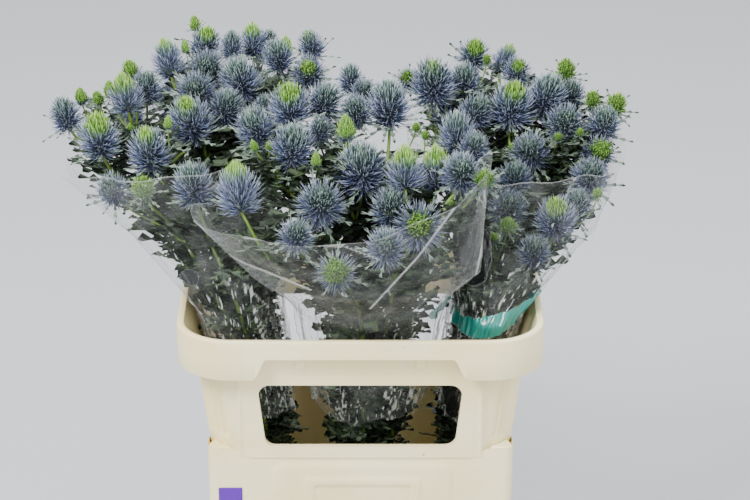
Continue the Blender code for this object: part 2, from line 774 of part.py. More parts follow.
def draw_in_tips(solids, sleeves):
    """Shortens spines, bracts and leaves until no node crosses another or itself."""
    boxes = [(np.min(m.points, axis=0), np.max(m.points, axis=0)) for m in solids]
    near = [
        (i, j)
        for i in range(len(solids))
        for j in range(i + 1, len(solids))
        if (boxes[i][0] < boxes[j][1]).all() and (boxes[j][0] < boxes[i][1]).all()
    ]
    feet = [dict(mesh.tips) for mesh in solids]
    for _ in range(DRAW_IN_ROUNDS):
        trees = [tree_of(mesh.points, mesh.faces) for mesh in solids]
        hits = [set() for _ in solids]
        for i, j in near:
            for one, two in trees[i].overlap(trees[j]):
                hits[i].update(solids[i].faces[one])
                hits[j].update(solids[j].faces[two])
        for i, tree in enumerate(trees):
            for sleeve in sleeves:
                for one, _ in tree.overlap(sleeve):
                    hits[i].update(solids[i].faces[one])
            for one, two in tree.overlap(tree):
                if not set(solids[i].faces[one]) & set(solids[i].faces[two]):
                    hits[i].update(solids[i].faces[one])
        moved = 0
        for mesh, found, own in zip(solids, hits, feet):
            for index in found & own.keys():
                mesh.points[index] = own[index] + (mesh.points[index] - own[index]) * DRAW_IN_SHARE
                moved += 1
        if not moved:
            break


def tree_of(points, faces):
    """A search tree over a mesh."""
    return BVHTree.FromPolygons([tuple(point) for point in points], faces)


def material_of(name, colour, roughness, clear=0.0):
    """A plain material for one kind of surface."""
    material = bpy.data.materials.new(name)
    material.use_nodes = True
    shader = material.node_tree.nodes["Principled BSDF"]
    shader.inputs["Base Color"].default_value = (*colour, 1.0)
    shader.inputs["Roughness"].default_value = roughness
    shader.inputs["Metallic"].default_value = 0.0
    shader.inputs["Transmission Weight"].default_value = clear
    return material


def mesh_object(name, points, faces, material):
    """A new object from points and faces."""
    mesh = bpy.data.meshes.new(name)
    mesh.from_pydata([tuple(point) for point in points], [], faces)
    mesh.update()
    mesh.materials.append(material)
    item = bpy.data.objects.new(name, mesh)
    bpy.context.scene.collection.objects.link(item)
    return item


def rounded_rectangle(size, corner, height, long_side=(), short_side=()):
    """A ring of points, counter-clockwise from the right side's front corner.

    long_side and short_side are places along the straight stretches that get a point on either
    side of the middle, the farthest first.
    """
    half_width, half_depth = size[0] / 2, size[1] / 2
    ring = []
    for quarter, (x, y) in enumerate(((1, -1), (1, 1), (-1, 1), (-1, -1))):
        for step in range(CORNER_STEPS + 1):
            angle = math.pi / 2 * (quarter - 1 + step / CORNER_STEPS)
            ring.append((
                x * (half_width - corner) + corner * math.cos(angle),
                y * (half_depth - corner) + corner * math.sin(angle),
                height,
            ))
        if quarter in (1, 3):
            places = [*long_side, *(-place for place in reversed(long_side))]
            ring += [(place * y, y * half_depth, height) for place in places]
        else:
            places = [*short_side, *(-place for place in reversed(short_side))]
            ring += [(x * half_width, -place * x, height) for place in places]
    return ring


def loft(name, rings, material):
    """A closed solid through rings of equal count, with its first and last ring filled."""
    count = len(rings[0])
    points = [point for ring in rings for point in ring]
    faces = []
    for level in range(len(rings) - 1):
        low, high = level * count, (level + 1) * count
        for step in range(count):
            after = (step + 1) % count
            faces.append((low + step, low + after, high + after, high + step))
    faces.append(tuple(reversed(range(count))))
    last = (len(rings) - 1) * count
    faces.append(tuple(range(last, last + count)))
    return mesh_object(name, points, faces, material)


def closed_loft(name, rings, material):
    """A solid ring: the rings follow its section round and the last one meets the first."""
    count = len(rings[0])
    points = [point for ring in rings for point in ring]
    faces = []
    for level in range(len(rings)):
        low, high = level * count, (level + 1) % len(rings) * count
        for step in range(count):
            after = (step + 1) % count
            faces.append((low + step, low + after, high + after, high + step))
    return mesh_object(name, points, faces, material)


def inset(size, by):
    """Width and depth, less a wall on each side."""
    return size[0] - 2 * by, size[1] - 2 * by


def build_bucket(material):
    """An open tub. Its four corner posts rise outside the collar's rounder corners."""

    def level(size, inward, corner, height, raised=False):
        """One ring of the section, with the corners raised to the posts' height or not."""
        along, beside = POST_FROM
        kinks = ((along - WALL / 3,), (beside - WALL / 3,))
        ring = rounded_rectangle(inset(size, inward), corner, height, *kinks)
        rise = POST_RISE if raised else 0.0
        return [(x, y, z + rise * (abs(x) > along and abs(y) > beside)) for x, y, z in ring]

    inner_corner = BUCKET_CORNER - WALL
    rings = [
        level(BUCKET_FOOT, 0.0, BUCKET_CORNER, 0.0),
        level(BUCKET_RIM, 0.0, BUCKET_CORNER, BUCKET_HEIGHT, True),
        level(BUCKET_RIM, POST_EDGE, POST_HOLLOW_CORNER, BUCKET_HEIGHT, True),
        level(BUCKET_RIM, 2 * POST_EDGE, POST_HOLLOW_CORNER, BUCKET_HEIGHT),
        level(BUCKET_RIM, WALL, POST_HOLLOW_CORNER - WALL, BUCKET_HEIGHT),
        level(BUCKET_RIM, WALL, inner_corner, BUCKET_HEIGHT - WEB_THICK),
        level(BUCKET_FOOT, WALL, inner_corner, WALL),
    ]
    return loft("bucket", rings, material)


def build_collar(material):
    """The collar: a tapering frame with a hollow skirt round its rim, cut by a window.

    It stands on the bucket's rim, and a spigot below its foot keeps it in place.
    """
    skirt_foot = COLLAR_TOP - SKIRT_DEEP
    web = COLLAR_TOP - 2 * WALL
    foot = BUCKET_HEIGHT + GAP
    inner, outer = SKIRT_NOTCH

    def level(size, corner, inward, height, rise=0.0):
        """One ring of the section. The middle of each long side lies higher by rise."""
        ring = rounded_rectangle(inset(size, inward), corner - inward, height, (outer, inner))
        return [
            (x, y, z + rise * (abs(x) < (inner + outer) / 2 and abs(y) > size[1] / 3))
            for x, y, z in ring
        ]

    rise = SKIRT_DEEP - SKIRT_SHALLOW
    rings = [
        level(COLLAR_FOOT, COLLAR_FOOT_CORNER, SPIGOT_INSET, foot - SPIGOT_DEEP),
        level(COLLAR_FOOT, COLLAR_FOOT_CORNER, SPIGOT_INSET, foot),
        level(COLLAR_FOOT, COLLAR_FOOT_CORNER, 0.0, foot),
        level(COLLAR_WAIST, COLLAR_WAIST_CORNER, 0.0, COLLAR_WAIST_HEIGHT),
        level(COLLAR_RIM, COLLAR_RIM_CORNER, LIP_WIDTH - WALL / 3, web),
        level(COLLAR_RIM, COLLAR_RIM_CORNER, WALL, web),
        level(COLLAR_RIM, COLLAR_RIM_CORNER, WALL, skirt_foot, rise),
        level(COLLAR_RIM, COLLAR_RIM_CORNER, 0.0, skirt_foot, rise),
        level(COLLAR_RIM, COLLAR_RIM_CORNER, 0.0, COLLAR_TOP - LIP_BEVEL),
        level(COLLAR_RIM, COLLAR_RIM_CORNER, LIP_BEVEL, COLLAR_TOP),
        level(COLLAR_RIM, COLLAR_RIM_CORNER, LIP_WIDTH, COLLAR_TOP),
        level(COLLAR_WAIST, COLLAR_WAIST_CORNER, WALL, COLLAR_WAIST_HEIGHT),
        level(COLLAR_FOOT, COLLAR_FOOT_CORNER, SPIGOT_INSET + WALL, foot - SPIGOT_DEEP),
    ]
    collar = closed_loft("collar", rings, material)
    narrow, wide = WINDOW_WIDTH
    low, high = WINDOW_HEIGHT
    middle = (low + high) / 2
    outline = []
    for quarter, (x, z) in enumerate(((1, -1), (1, 1), (-1, 1), (-1, -1))):
        half = (narrow if z < 0 else wide) / 2 - WINDOW_CORNER
        for step in range(CORNER_STEPS + 1):
            angle = math.pi / 2 * (quarter - 1 + step / CORNER_STEPS)
            across = x * half + WINDOW_CORNER * math.cos(angle)
            rise = z * ((high - low) / 2 - WINDOW_CORNER) + WINDOW_CORNER * math.sin(angle)
            outline.append((across, middle + rise))
    far = COLLAR_RIM[1]
    rings = [[(x, y, z) for x, z in outline] for y in (far, -far)]
    cutter = loft("window_cutter", rings, material)
    cutter.hide_render = True
    cutter.display_type = "WIRE"
    cut = collar.modifiers.new("window", "BOOLEAN")
    cut.operation = "DIFFERENCE"
    cut.object = cutter
    return collar


def build_water(material):
    """A slab of water with one plain hole for each bunch of stems."""
    low, high = WALL + GAP, WALL + GAP + WATER_DEPTH
    wide = inset(BUCKET_FOOT, WALL + GAP)
    corner = BUCKET_CORNER - WALL
    rings = [rounded_rectangle(wide, corner, height) for height in (low, high)]
    water = loft("water", rings, material)
    for bunch in BUNCHES:
        _, x, y, half_width, half_depth = bunch.sleeve[0]
        rings = []
        for height in (low - WALL, high + WALL):
            rings.append([
                (
                    x + half_width * WATER_HOLE_SPARE * math.cos(2 * math.pi * k / WATER_HOLE_SIDES),
                    y + half_depth * WATER_HOLE_SPARE * math.sin(2 * math.pi * k / WATER_HOLE_SIDES),
                    height,
                )
                for k in range(WATER_HOLE_SIDES)
            ])
        cutter = loft(f"hole_cutter_{bunch.name}", rings, material)
        cutter.hide_render = True
        cutter.display_type = "WIRE"
        cut = water.modifiers.new(bunch.name, "BOOLEAN")
        cut.operation = "DIFFERENCE"
        cut.object = cutter
    return water


def front_depth(height):
    """How far the bucket's front face lies from the middle at this height."""
    return np.interp(height, (0.0, BUCKET_HEIGHT), (BUCKET_FOOT[1] / 2, BUCKET_RIM[1] / 2))


def build_label(material):
    """A plain label on the bucket's front."""
    points = []
    for lift in (0.0, LABEL_THICK):
        for x, z in ((0, 0), (1, 0), (1, 1), (0, 1)):
            height = LABEL_FOOT + z * LABEL_HEIGHT
            depth = -front_depth(height) - GAP - lift
            points.append((LABEL_LEFT + x * LABEL_WIDTH, depth, height))
    faces = [(3, 2, 1, 0), (4, 5, 6, 7)]
    faces += [(k, (k + 1) % 4, (k + 1) % 4 + 4, k + 4) for k in range(4)]
    return mesh_object("bucket_label", points, faces, material)


def film_rings(bunch):
    """The inner and outer rings of a sleeve, from its foot to its slanting edge."""
    flats = 1 / math.cos(math.pi / FILM_SIDES)
    angles = [2 * math.pi * step / FILM_SIDES for step in range(FILM_SIDES)]
    inner, outer = [], []
    last = FILM_HEIGHTS[-1]
    levels = [(height, 0.0) for height in FILM_HEIGHTS] + [(last, rise) for rise in FILM_RISES]
    for base, rise in levels:
        for rings, thick in ((inner, 0.0), (outer, FILM_THICK)):
            ring = []
            for angle in angles:
                height = base + (film_edge(bunch, angle) - last) * rise
                x, y, half_width, half_depth = blend(bunch.sleeve, height)
                if height < COLLAR_TOP + FILM_MARGIN:
                    half_width -= FILM_CLEAR
                ring.append((
                    x + (half_width * flats + thick) * math.cos(angle),
                    y + (half_depth * flats + thick) * math.sin(angle),
                    height,
                ))
            rings.append(ring)
    return inner, outer


def build_sleeve(bunch, material):
    """A bunch's clear film sleeve."""
    inner, outer = film_rings(bunch)
    return closed_loft(f"sleeve_{bunch.name}", outer + inner[::-1], material)


def main():
    """Clears the scene and builds every piece."""
    for item in list(bpy.data.objects):
        bpy.data.objects.remove(item)
    plastic = material_of("cream_plastic", (0.78, 0.70, 0.53), 0.45)
    build_bucket(plastic)
    build_collar(plastic)
    build_water(material_of("water", (0.75, 0.82, 0.80), 0.05, 0.9))
    build_label(material_of("purple_label", (0.16, 0.03, 0.32), 0.5))
    film = material_of("clear_film", (0.92, 0.94, 0.94), 0.12, 0.9)
    plant = material_of("sea_holly", (0.18, 0.25, 0.33), 0.6)
    sleeves = []
    for bunch in BUNCHES:
        sleeve = build_sleeve(bunch, film)
        points = [vertex.co for vertex in sleeve.data.vertices]
        faces = [tuple(polygon.vertices) for polygon in sleeve.data.polygons]
        sleeves.append(tree_of(points, faces))
    routes = Routes()
    sprays = [plan_spray(routes, *group) for group in group_heads(place_heads())]
    routes.settle()
    counts = [0] * len(BUNCHES)
    meshes = [grow_spray(routes, spray) for spray in sprays]
    draw_in_tips(meshes, sleeves)
    for spray, mesh in zip(sprays, meshes):
        counts[spray.bunch] += 1
        name = f"spray_{BUNCHES[spray.bunch].name}_{counts[spray.bunch]:02d}"
        mesh_object(name, mesh.points, mesh.faces, plant)


main()
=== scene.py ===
"""Dresses the sea holly bunches in their flower bucket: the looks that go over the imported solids.

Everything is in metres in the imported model's own frame. +Z is up, the viewer stands on the -Y side
and the bucket's underside is at the origin.
"""

import logging
import math
from dataclasses import dataclass, field
from enum import Enum

import bmesh
import bpy
import numpy as np
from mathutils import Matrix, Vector


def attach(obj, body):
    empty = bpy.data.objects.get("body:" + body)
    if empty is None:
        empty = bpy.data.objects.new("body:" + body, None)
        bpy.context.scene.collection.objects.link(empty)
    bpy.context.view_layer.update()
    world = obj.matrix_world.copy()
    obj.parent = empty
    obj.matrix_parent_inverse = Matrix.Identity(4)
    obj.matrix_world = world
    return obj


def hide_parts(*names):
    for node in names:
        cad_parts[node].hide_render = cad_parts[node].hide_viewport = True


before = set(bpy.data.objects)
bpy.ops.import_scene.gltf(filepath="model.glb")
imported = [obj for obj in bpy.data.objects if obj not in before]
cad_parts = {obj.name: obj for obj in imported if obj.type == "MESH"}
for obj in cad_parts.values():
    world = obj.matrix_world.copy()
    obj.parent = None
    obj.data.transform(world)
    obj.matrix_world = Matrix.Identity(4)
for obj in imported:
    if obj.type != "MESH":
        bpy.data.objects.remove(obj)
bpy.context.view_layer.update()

LOG = logging.getLogger("flower_bucket")
SEED = 5
TINY = 1e-6
BODY = "root"
GOLDEN_TURN = math.pi * (3.0 - math.sqrt(5.0))
# A head's length over its width, and its core's share of that length and of that width.
HEAD_SLENDER = 1.15
CORE_LENGTH = 0.8
CORE_SHARE = 0.42


class Fill(Enum):
    """Which of the three finishes on a plant a triangle takes."""

    SPINE = 0
    LEAF = 1
    STEM = 2


class Slot(Enum):
    """Names for the material slots."""

    PLASTIC = "cream_plastic"
    LABEL = "purple_label"
    FILM = "clear_film"
    PLANT = "sea_holly"


def unit(vectors: np.ndarray) -> np.ndarray:
    """The vector, or each row of vectors, at length one."""
    return vectors / np.maximum(np.linalg.norm(vectors, axis=-1, keepdims=True), TINY)


def smooth(values: np.ndarray, start: float, end: float) -> np.ndarray:
    """Rises smoothly from 0 at start to 1 at end.

    Args:
        values: The numbers to map.
        start: Where the rise starts.
        end: Where it ends, above or below start.

    Returns:
        The risen share of each value.
    """
    share = np.clip((np.asarray(values) - start) / (end - start), 0.0, 1.0)
    return share * share * (3.0 - 2.0 * share)


def tint(red: int, green: int, blue: int) -> tuple[float, float, float, float]:
    """The linear colour of three display values from 0 to 255."""
    shares = [value / 255.0 for value in (red, green, blue)]
    linear = [((s + 0.055) / 1.055) ** 2.4 if s > 0.04045 else s / 12.92 for s in shares]
    return (*linear, 1.0)


@dataclass(frozen=True)
class Viewpoint:
    """Where the heads were placed from, as the bucket's rim gives it.

    tilt is the downward angle, focal and the pixels are in the picture's own size, reach is the
    distance to the middle of the front rim, and scale is how many pixels a metre takes there.
    """

    tilt: float = math.radians(22.0)
    focal: float = 2861.0
    reach: float = 3.06
    middle: tuple[float, float] = (375.0, 250.0)
    rim_pixel: tuple[float, float] = (360.0, 342.0)
    rim: tuple[float, float, float] = (0.0, -0.150, 0.430)
    scale: float = 894.0

    @property
    def right(self) -> np.ndarray:
        """The direction of the picture's right."""
        return np.array((1.0, 0.0, 0.0))

    @property
    def ahead(self) -> np.ndarray:
        """The direction of the view."""
        return np.array((0.0, math.cos(self.tilt), -math.sin(self.tilt)))

    @property
    def up(self) -> np.ndarray:
        """The direction of the picture's top."""
        return np.array((0.0, math.sin(self.tilt), math.cos(self.tilt)))

    @property
    def eye(self) -> np.ndarray:
        """The viewer's place."""
        return np.array(self.rim) - self.reach * self.ray(*self.rim_pixel)

    def ray(self, px: float, py: float) -> np.ndarray:
        """The direction in which a pixel is seen, with a length of one along the view."""
        right = self.right * (px - self.middle[0]) / self.focal
        return self.ahead + right - self.up * (py - self.middle[1]) / self.focal

    def point(self, px: float, py: float, depth: float) -> np.ndarray:
        """The point seen at this pixel that has this depth along Y."""
        eye, ray = self.eye, self.ray(px, py)
        return eye + ray * (depth - eye[1]) / ray[1]

    def pixels(self, points: np.ndarray) -> np.ndarray:
        """Where points appear in the picture.

        Args:
            points: Rows of x, y and z.

        Returns:
            Rows of pixel x and y.
        """
        away = points - self.eye
        far = away @ self.ahead
        across = self.middle[0] + self.focal * (away @ self.right) / far
        down = self.middle[1] - self.focal * (away @ self.up) / far
        return np.stack([across, down], axis=-1)

    def camera(self) -> bpy.types.Object:
        """Makes the camera and gives it to the scene."""
        lens = bpy.data.cameras.new("picture_camera")
        lens.sensor_width = 36.0
        lens.lens = self.focal / (2 * self.middle[0]) * lens.sensor_width
        lens.dof.use_dof = False
        lens.clip_end = 50.0
        item = bpy.data.objects.new("picture_camera", lens)
        item.location = Vector(self.eye)
        item.rotation_euler = (math.pi / 2 - self.tilt, 0.0, 0.0)
        bpy.context.scene.collection.objects.link(item)
        bpy.context.scene.camera = item
        return item


VIEW = Viewpoint()


@dataclass
class Head:
    """A flower head: its bunch, middle, axis, width and the share of it that is still lime."""

    bunch: int
    centre: np.ndarray
    axis: np.ndarray
    width: float
    lime: float

    def at(self, share: float) -> np.ndarray:
        """The point on the axis this share of the core's length above its foot."""
        return self.centre + self.axis * self.width * HEAD_SLENDER * CORE_LENGTH * (share - 0.5)

    @property
    def half(self) -> float:
        """Half the core's length."""
        return self.width * HEAD_SLENDER * CORE_LENGTH / 2


@dataclass(frozen=True)
class Bunch:
    """One sleeved bunch, with the same numbers as its solids.

    heads holds each head's pixel, the way to its tip, its width in pixels and its lime share.
    hidden holds the pixel and depth of heads on the far side. sleeve holds height, middle x,
    middle y, half width and half depth. top is the film's height at right, back, left and front.
    """

    name: str
    heads: tuple[tuple[float, ...], ...]
    hidden: tuple[tuple[float, ...], ...]
    fall: tuple[tuple[float, float], ...]
    room: tuple[float, float]
    sleeve: tuple[tuple[float, ...], ...]
    top: tuple[float, float, float, float]

    def row(self, height: float | np.ndarray) -> np.ndarray:
        """The sleeve's middle x, middle y, half width and half depth at a height."""
        columns = list(zip(*self.sleeve))
        return np.array([np.interp(height, columns[0], column) for column in columns[1:]])

    def share(self, point: np.ndarray) -> np.ndarray:
        """Where a point lies across and along its sleeve: 1 is on the film."""
        x, y, half_width, half_depth = self.row(point[2])
        return np.array(((point[0] - x) / half_width, (point[1] - y) / half_depth))

    def edge(self, angle: float | np.ndarray) -> float | np.ndarray:
        """The height of the film's upper edge in a direction."""
        right, back, left, front = self.top
        across, along = np.cos(angle), np.sin(angle)
        side = np.where(across > 0, right, left)
        face = np.where(along > 0, back, front)
        return side * across**2 + face * along**2

    def stem_point(self, share: np.ndarray, height: float) -> np.ndarray:
        """The place at this height of a stem with this share of the sleeve."""
        tables = ((0.0, 0.30, 0.40, 0.50, 0.60, 0.80), (0.80, 0.56, 0.62, 0.76, 0.92, 1.0))
        tight = np.interp(height, *tables)
        x, y, half_width, half_depth = self.row(height)
        return np.array((
            x + share[0] * half_width * tight,
            y + share[1] * half_depth * tight,
            height,
        ))

    def way_inside(self, place: np.ndarray, radius: float) -> float:
        """The step along Y that takes a head off the film.

        Args:
            place: The head's middle.
            radius: Half of its width.

        Returns:
            A millimetre towards the sleeve's middle, or 0.
        """
        share = self.share(place)
        reach = np.linalg.norm(share)
        edge = float(self.edge(math.atan2(share[1], share[0])))
        half_width, half_depth = self.row(place[2])[2:]
        size = np.linalg.norm(share * (half_width, half_depth)) / max(reach, TINY)
        if reach < 0.5 or place[2] > edge + radius * 0.6 or reach + radius / size < 1:
            return 0.0
        return -math.copysign(0.001, share[1])


BUNCHES = (
    Bunch(
        name="left",
        heads=(
            (65, 115, -3, -15, 36, .1), (81, 97, -1, -9, 20, .8), (99, 136, -2, -22, 44, .45),
            (98, 98, -2, -6, 18, 1), (110, 90, -1, -9, 20, 1), (125, 95, -4, -22, 38, .5),
            (131, 72, -3, -11, 26, .6), (147, 88, 1, -14, 36, .1), (149, 150, -3, -20, 44, .25),
            (143, 188, 0, -8, 30, .9), (168, 123, 0, -9, 14, 1), (190, 120, -4, -20, 48, .25),
            (168, 60, -5, -24, 38, .3), (185, 47, -2, -10, 14, 1), (195, 24, -1, -8, 18, 1),
            (206, 45, 2, -16, 38, .3), (207, 70, 1, -6, 44, 0), (196, 92, 0, -5, 44, .05),
            (240, 80, -5, -18, 44, .1), (232, 47, 0, -15, 30, 0), (253, 42, -1, -19, 34, .35),
            (286, 47, 0, -13, 20, 1), (278, 57, -2, -14, 34, .1), (311, 46, -4, -14, 32, .2),
            (309, 73, -1, -8, 38, .3), (266, 108, 0, -10, 28, .05), (227, 108, 4, -12, 40, 0),
            (193, 185, -3, -19, 44, .15), (112, 190, -3, -9, 36, .05), (130, 128, 0, -4, 11, .8),
            (209, 118, 0, -3, 10, .9), (268, 42, 2, -10, 26, 0),
        ),
        hidden=(
            (92, 132, 0.140), (130, 118, 0.145), (172, 96, 0.162), (214, 84, 0.164),
            (256, 84, 0.162), (292, 92, 0.150), (152, 160, 0.128), (196, 150, 0.144),
            (240, 148, 0.148),
        ),
        fall=((190, -0.050), (24, 0.150)),
        room=(-0.058, 0.172),
        sleeve=(
            (0.008, -0.085, 0.000, 0.030, 0.050), (0.290, -0.112, 0.000, 0.038, 0.078),
            (0.430, -0.138, 0.000, 0.048, 0.112), (0.500, -0.169, 0.040, 0.096, 0.112),
            (0.562, -0.204, 0.055, 0.138, 0.130), (0.720, -0.206, 0.070, 0.148, 0.138),
        ),
        top=(0.598, 0.600, 0.554, 0.590),
    ),
    Bunch(
        name="middle",
        heads=(
            (290, 106, -1, -20, 46, .35), (325, 102, 4, -12, 42, 0), (255, 128, -5, -14, 42, .1),
            (293, 147, 3, -18, 46, .05), (254, 146, -2, -6, 13, 1), (269, 146, 0, -5, 11, 1),
            (316, 160, 0, -14, 16, 1), (238, 190, -4, -28, 48, .35), (320, 130, 2, -8, 30, 0),
            (346, 130, -1, -18, 26, .9), (351, 80, -1, -15, 32, .15), (364, 93, 2, -8, 32, 0),
            (389, 105, -1, -22, 48, .1), (356, 112, -2, -10, 38, 0), (362, 168, -1, -20, 54, .1),
            (321, 203, 1, -9, 50, .1), (296, 236, 2, -8, 38, 0), (336, 272, -1, -3, 42, .6),
            (405, 170, -1, -26, 42, .5), (392, 208, 0, -12, 44, 0), (436, 170, -1, -25, 42, .5),
            (457, 134, -1, -20, 40, .15), (416, 127, 0, -4, 13, 1), (425, 135, 0, -4, 12, 1),
            (474, 148, 2, -10, 34, 0), (462, 173, 0, -8, 44, .15), (484, 180, 1, -5, 30, .7),
            (452, 204, 0, -3, 12, .8), (419, 227, 0, -4, 52, .4), (386, 248, 0, -8, 42, .05),
        ),
        hidden=(),
        fall=((272, -0.205), (80, -0.020)),
        room=(-0.226, 0.040),
        sleeve=(
            (0.008, 0.004, -0.004, 0.040, 0.050), (0.290, 0.008, -0.012, 0.058, 0.066),
            (0.430, 0.010, -0.035, 0.082, 0.092), (0.465, 0.006, -0.080, 0.092, 0.084),
            (0.500, 0.003, -0.110, 0.124, 0.086), (0.590, -0.027, -0.155, 0.160, 0.105),
            (0.720, -0.020, -0.160, 0.166, 0.115),
        ),
        top=(0.640, 0.530, 0.580, 0.585),
    ),
    Bunch(
        name="right",
        heads=(
            (408, 79, 0, -5, 28, .5), (433, 82, -1, -18, 50, .2), (464, 82, -1, -14, 38, .05),
            (474, 54, 2, -12, 36, .4), (487, 59, 0, -4, 13, 1), (505, 60, 8, -18, 30, .3),
            (517, 72, 2, -10, 32, .3), (512, 105, 3, -20, 48, .3), (476, 112, 4, -12, 38, .05),
            (547, 95, 4, -17, 44, .15), (566, 70, 0, -9, 28, 1), (571, 95, 1, -12, 34, 0),
            (593, 99, -1, -7, 22, 1), (616, 105, 2, -9, 30, 1), (604, 124, 0, -12, 38, .05),
            (565, 123, 1, -8, 42, 0), (558, 137, 0, -3, 14, .8), (580, 132, 0, -3, 12, .9),
            (600, 152, 2, -5, 36, .5), (591, 177, 0, -10, 42, 0), (598, 193, 0, -4, 15, 1),
            (512, 148, 0, -4, 14, .9), (530, 152, -3, -8, 42, 0), (515, 178, 0, -12, 36, 0),
            (508, 208, 2, -8, 40, 0), (508, 226, 0, -6, 24, .9), (556, 218, -1, -18, 44, .35),
            (576, 206, 2, -10, 36, 0), (494, 238, 0, -4, 16, .8), (534, 252, 0, -10, 36, .1),
        ),
        hidden=(
            (446, 112, 0.150), (482, 104, 0.160), (520, 104, 0.162), (556, 120, 0.158),
            (590, 140, 0.146), (500, 160, 0.145), (546, 170, 0.140),
        ),
        fall=((252, -0.045), (54, 0.140)),
        room=(-0.060, 0.170),
        sleeve=(
            (0.008, 0.090, 0.000, 0.028, 0.050), (0.290, 0.118, 0.000, 0.034, 0.078),
            (0.430, 0.143, 0.000, 0.040, 0.112), (0.500, 0.172, 0.042, 0.094, 0.112),
            (0.590, 0.177, 0.058, 0.125, 0.132), (0.720, 0.178, 0.068, 0.132, 0.138),
        ),
        top=(0.574, 0.600, 0.600, 0.583),
    ),
)


@dataclass
class Twig:
    """A side branch: the numbers of its points from its fork on, and its head."""

    chain: list[int]
    head: Head


@dataclass
class Spray:
    """A stem with its heads: its points up to the main head, its forks and its twigs."""

    bunch: int
    chain: list[int]
    forks: list[int]
    main: Head
    twigs: list[Twig]


def nearest_on_links(
    a: np.ndarray, b: np.ndarray, c: np.ndarray, d: np.ndarray
) -> tuple[np.ndarray, np.ndarray, np.ndarray]:
    """Finds where pairs of straight links come nearest.

    Args:
        a: Starts of the first links.
        b: Ends of the first links.
        c: Starts of the second links.
        d: Ends of the second links.

    Returns:
        The shares along a-b and c-d, and the way from the second point to the first.
    """
    one, two, apart = b - a, d - c, a - c
    one_one = (one * one).sum(axis=1)
    two_two = (two * two).sum(axis=1)
    one_two = (one * two).sum(axis=1)
    one_apart = (one * apart).sum(axis=1)
    two_apart = (two * apart).sum(axis=1)
    spread = np.maximum(one_one * two_two - one_two**2, TINY**2)
    s = np.clip((one_two * two_apart - one_apart * two_two) / spread, 0, 1)
    t = np.clip((one_two * s + two_apart) / two_two, 0, 1)
    s = np.clip((one_two * t - one_apart) / one_one, 0, 1)
    return s, t, a + one * s[:, None] - c - two * t[:, None]


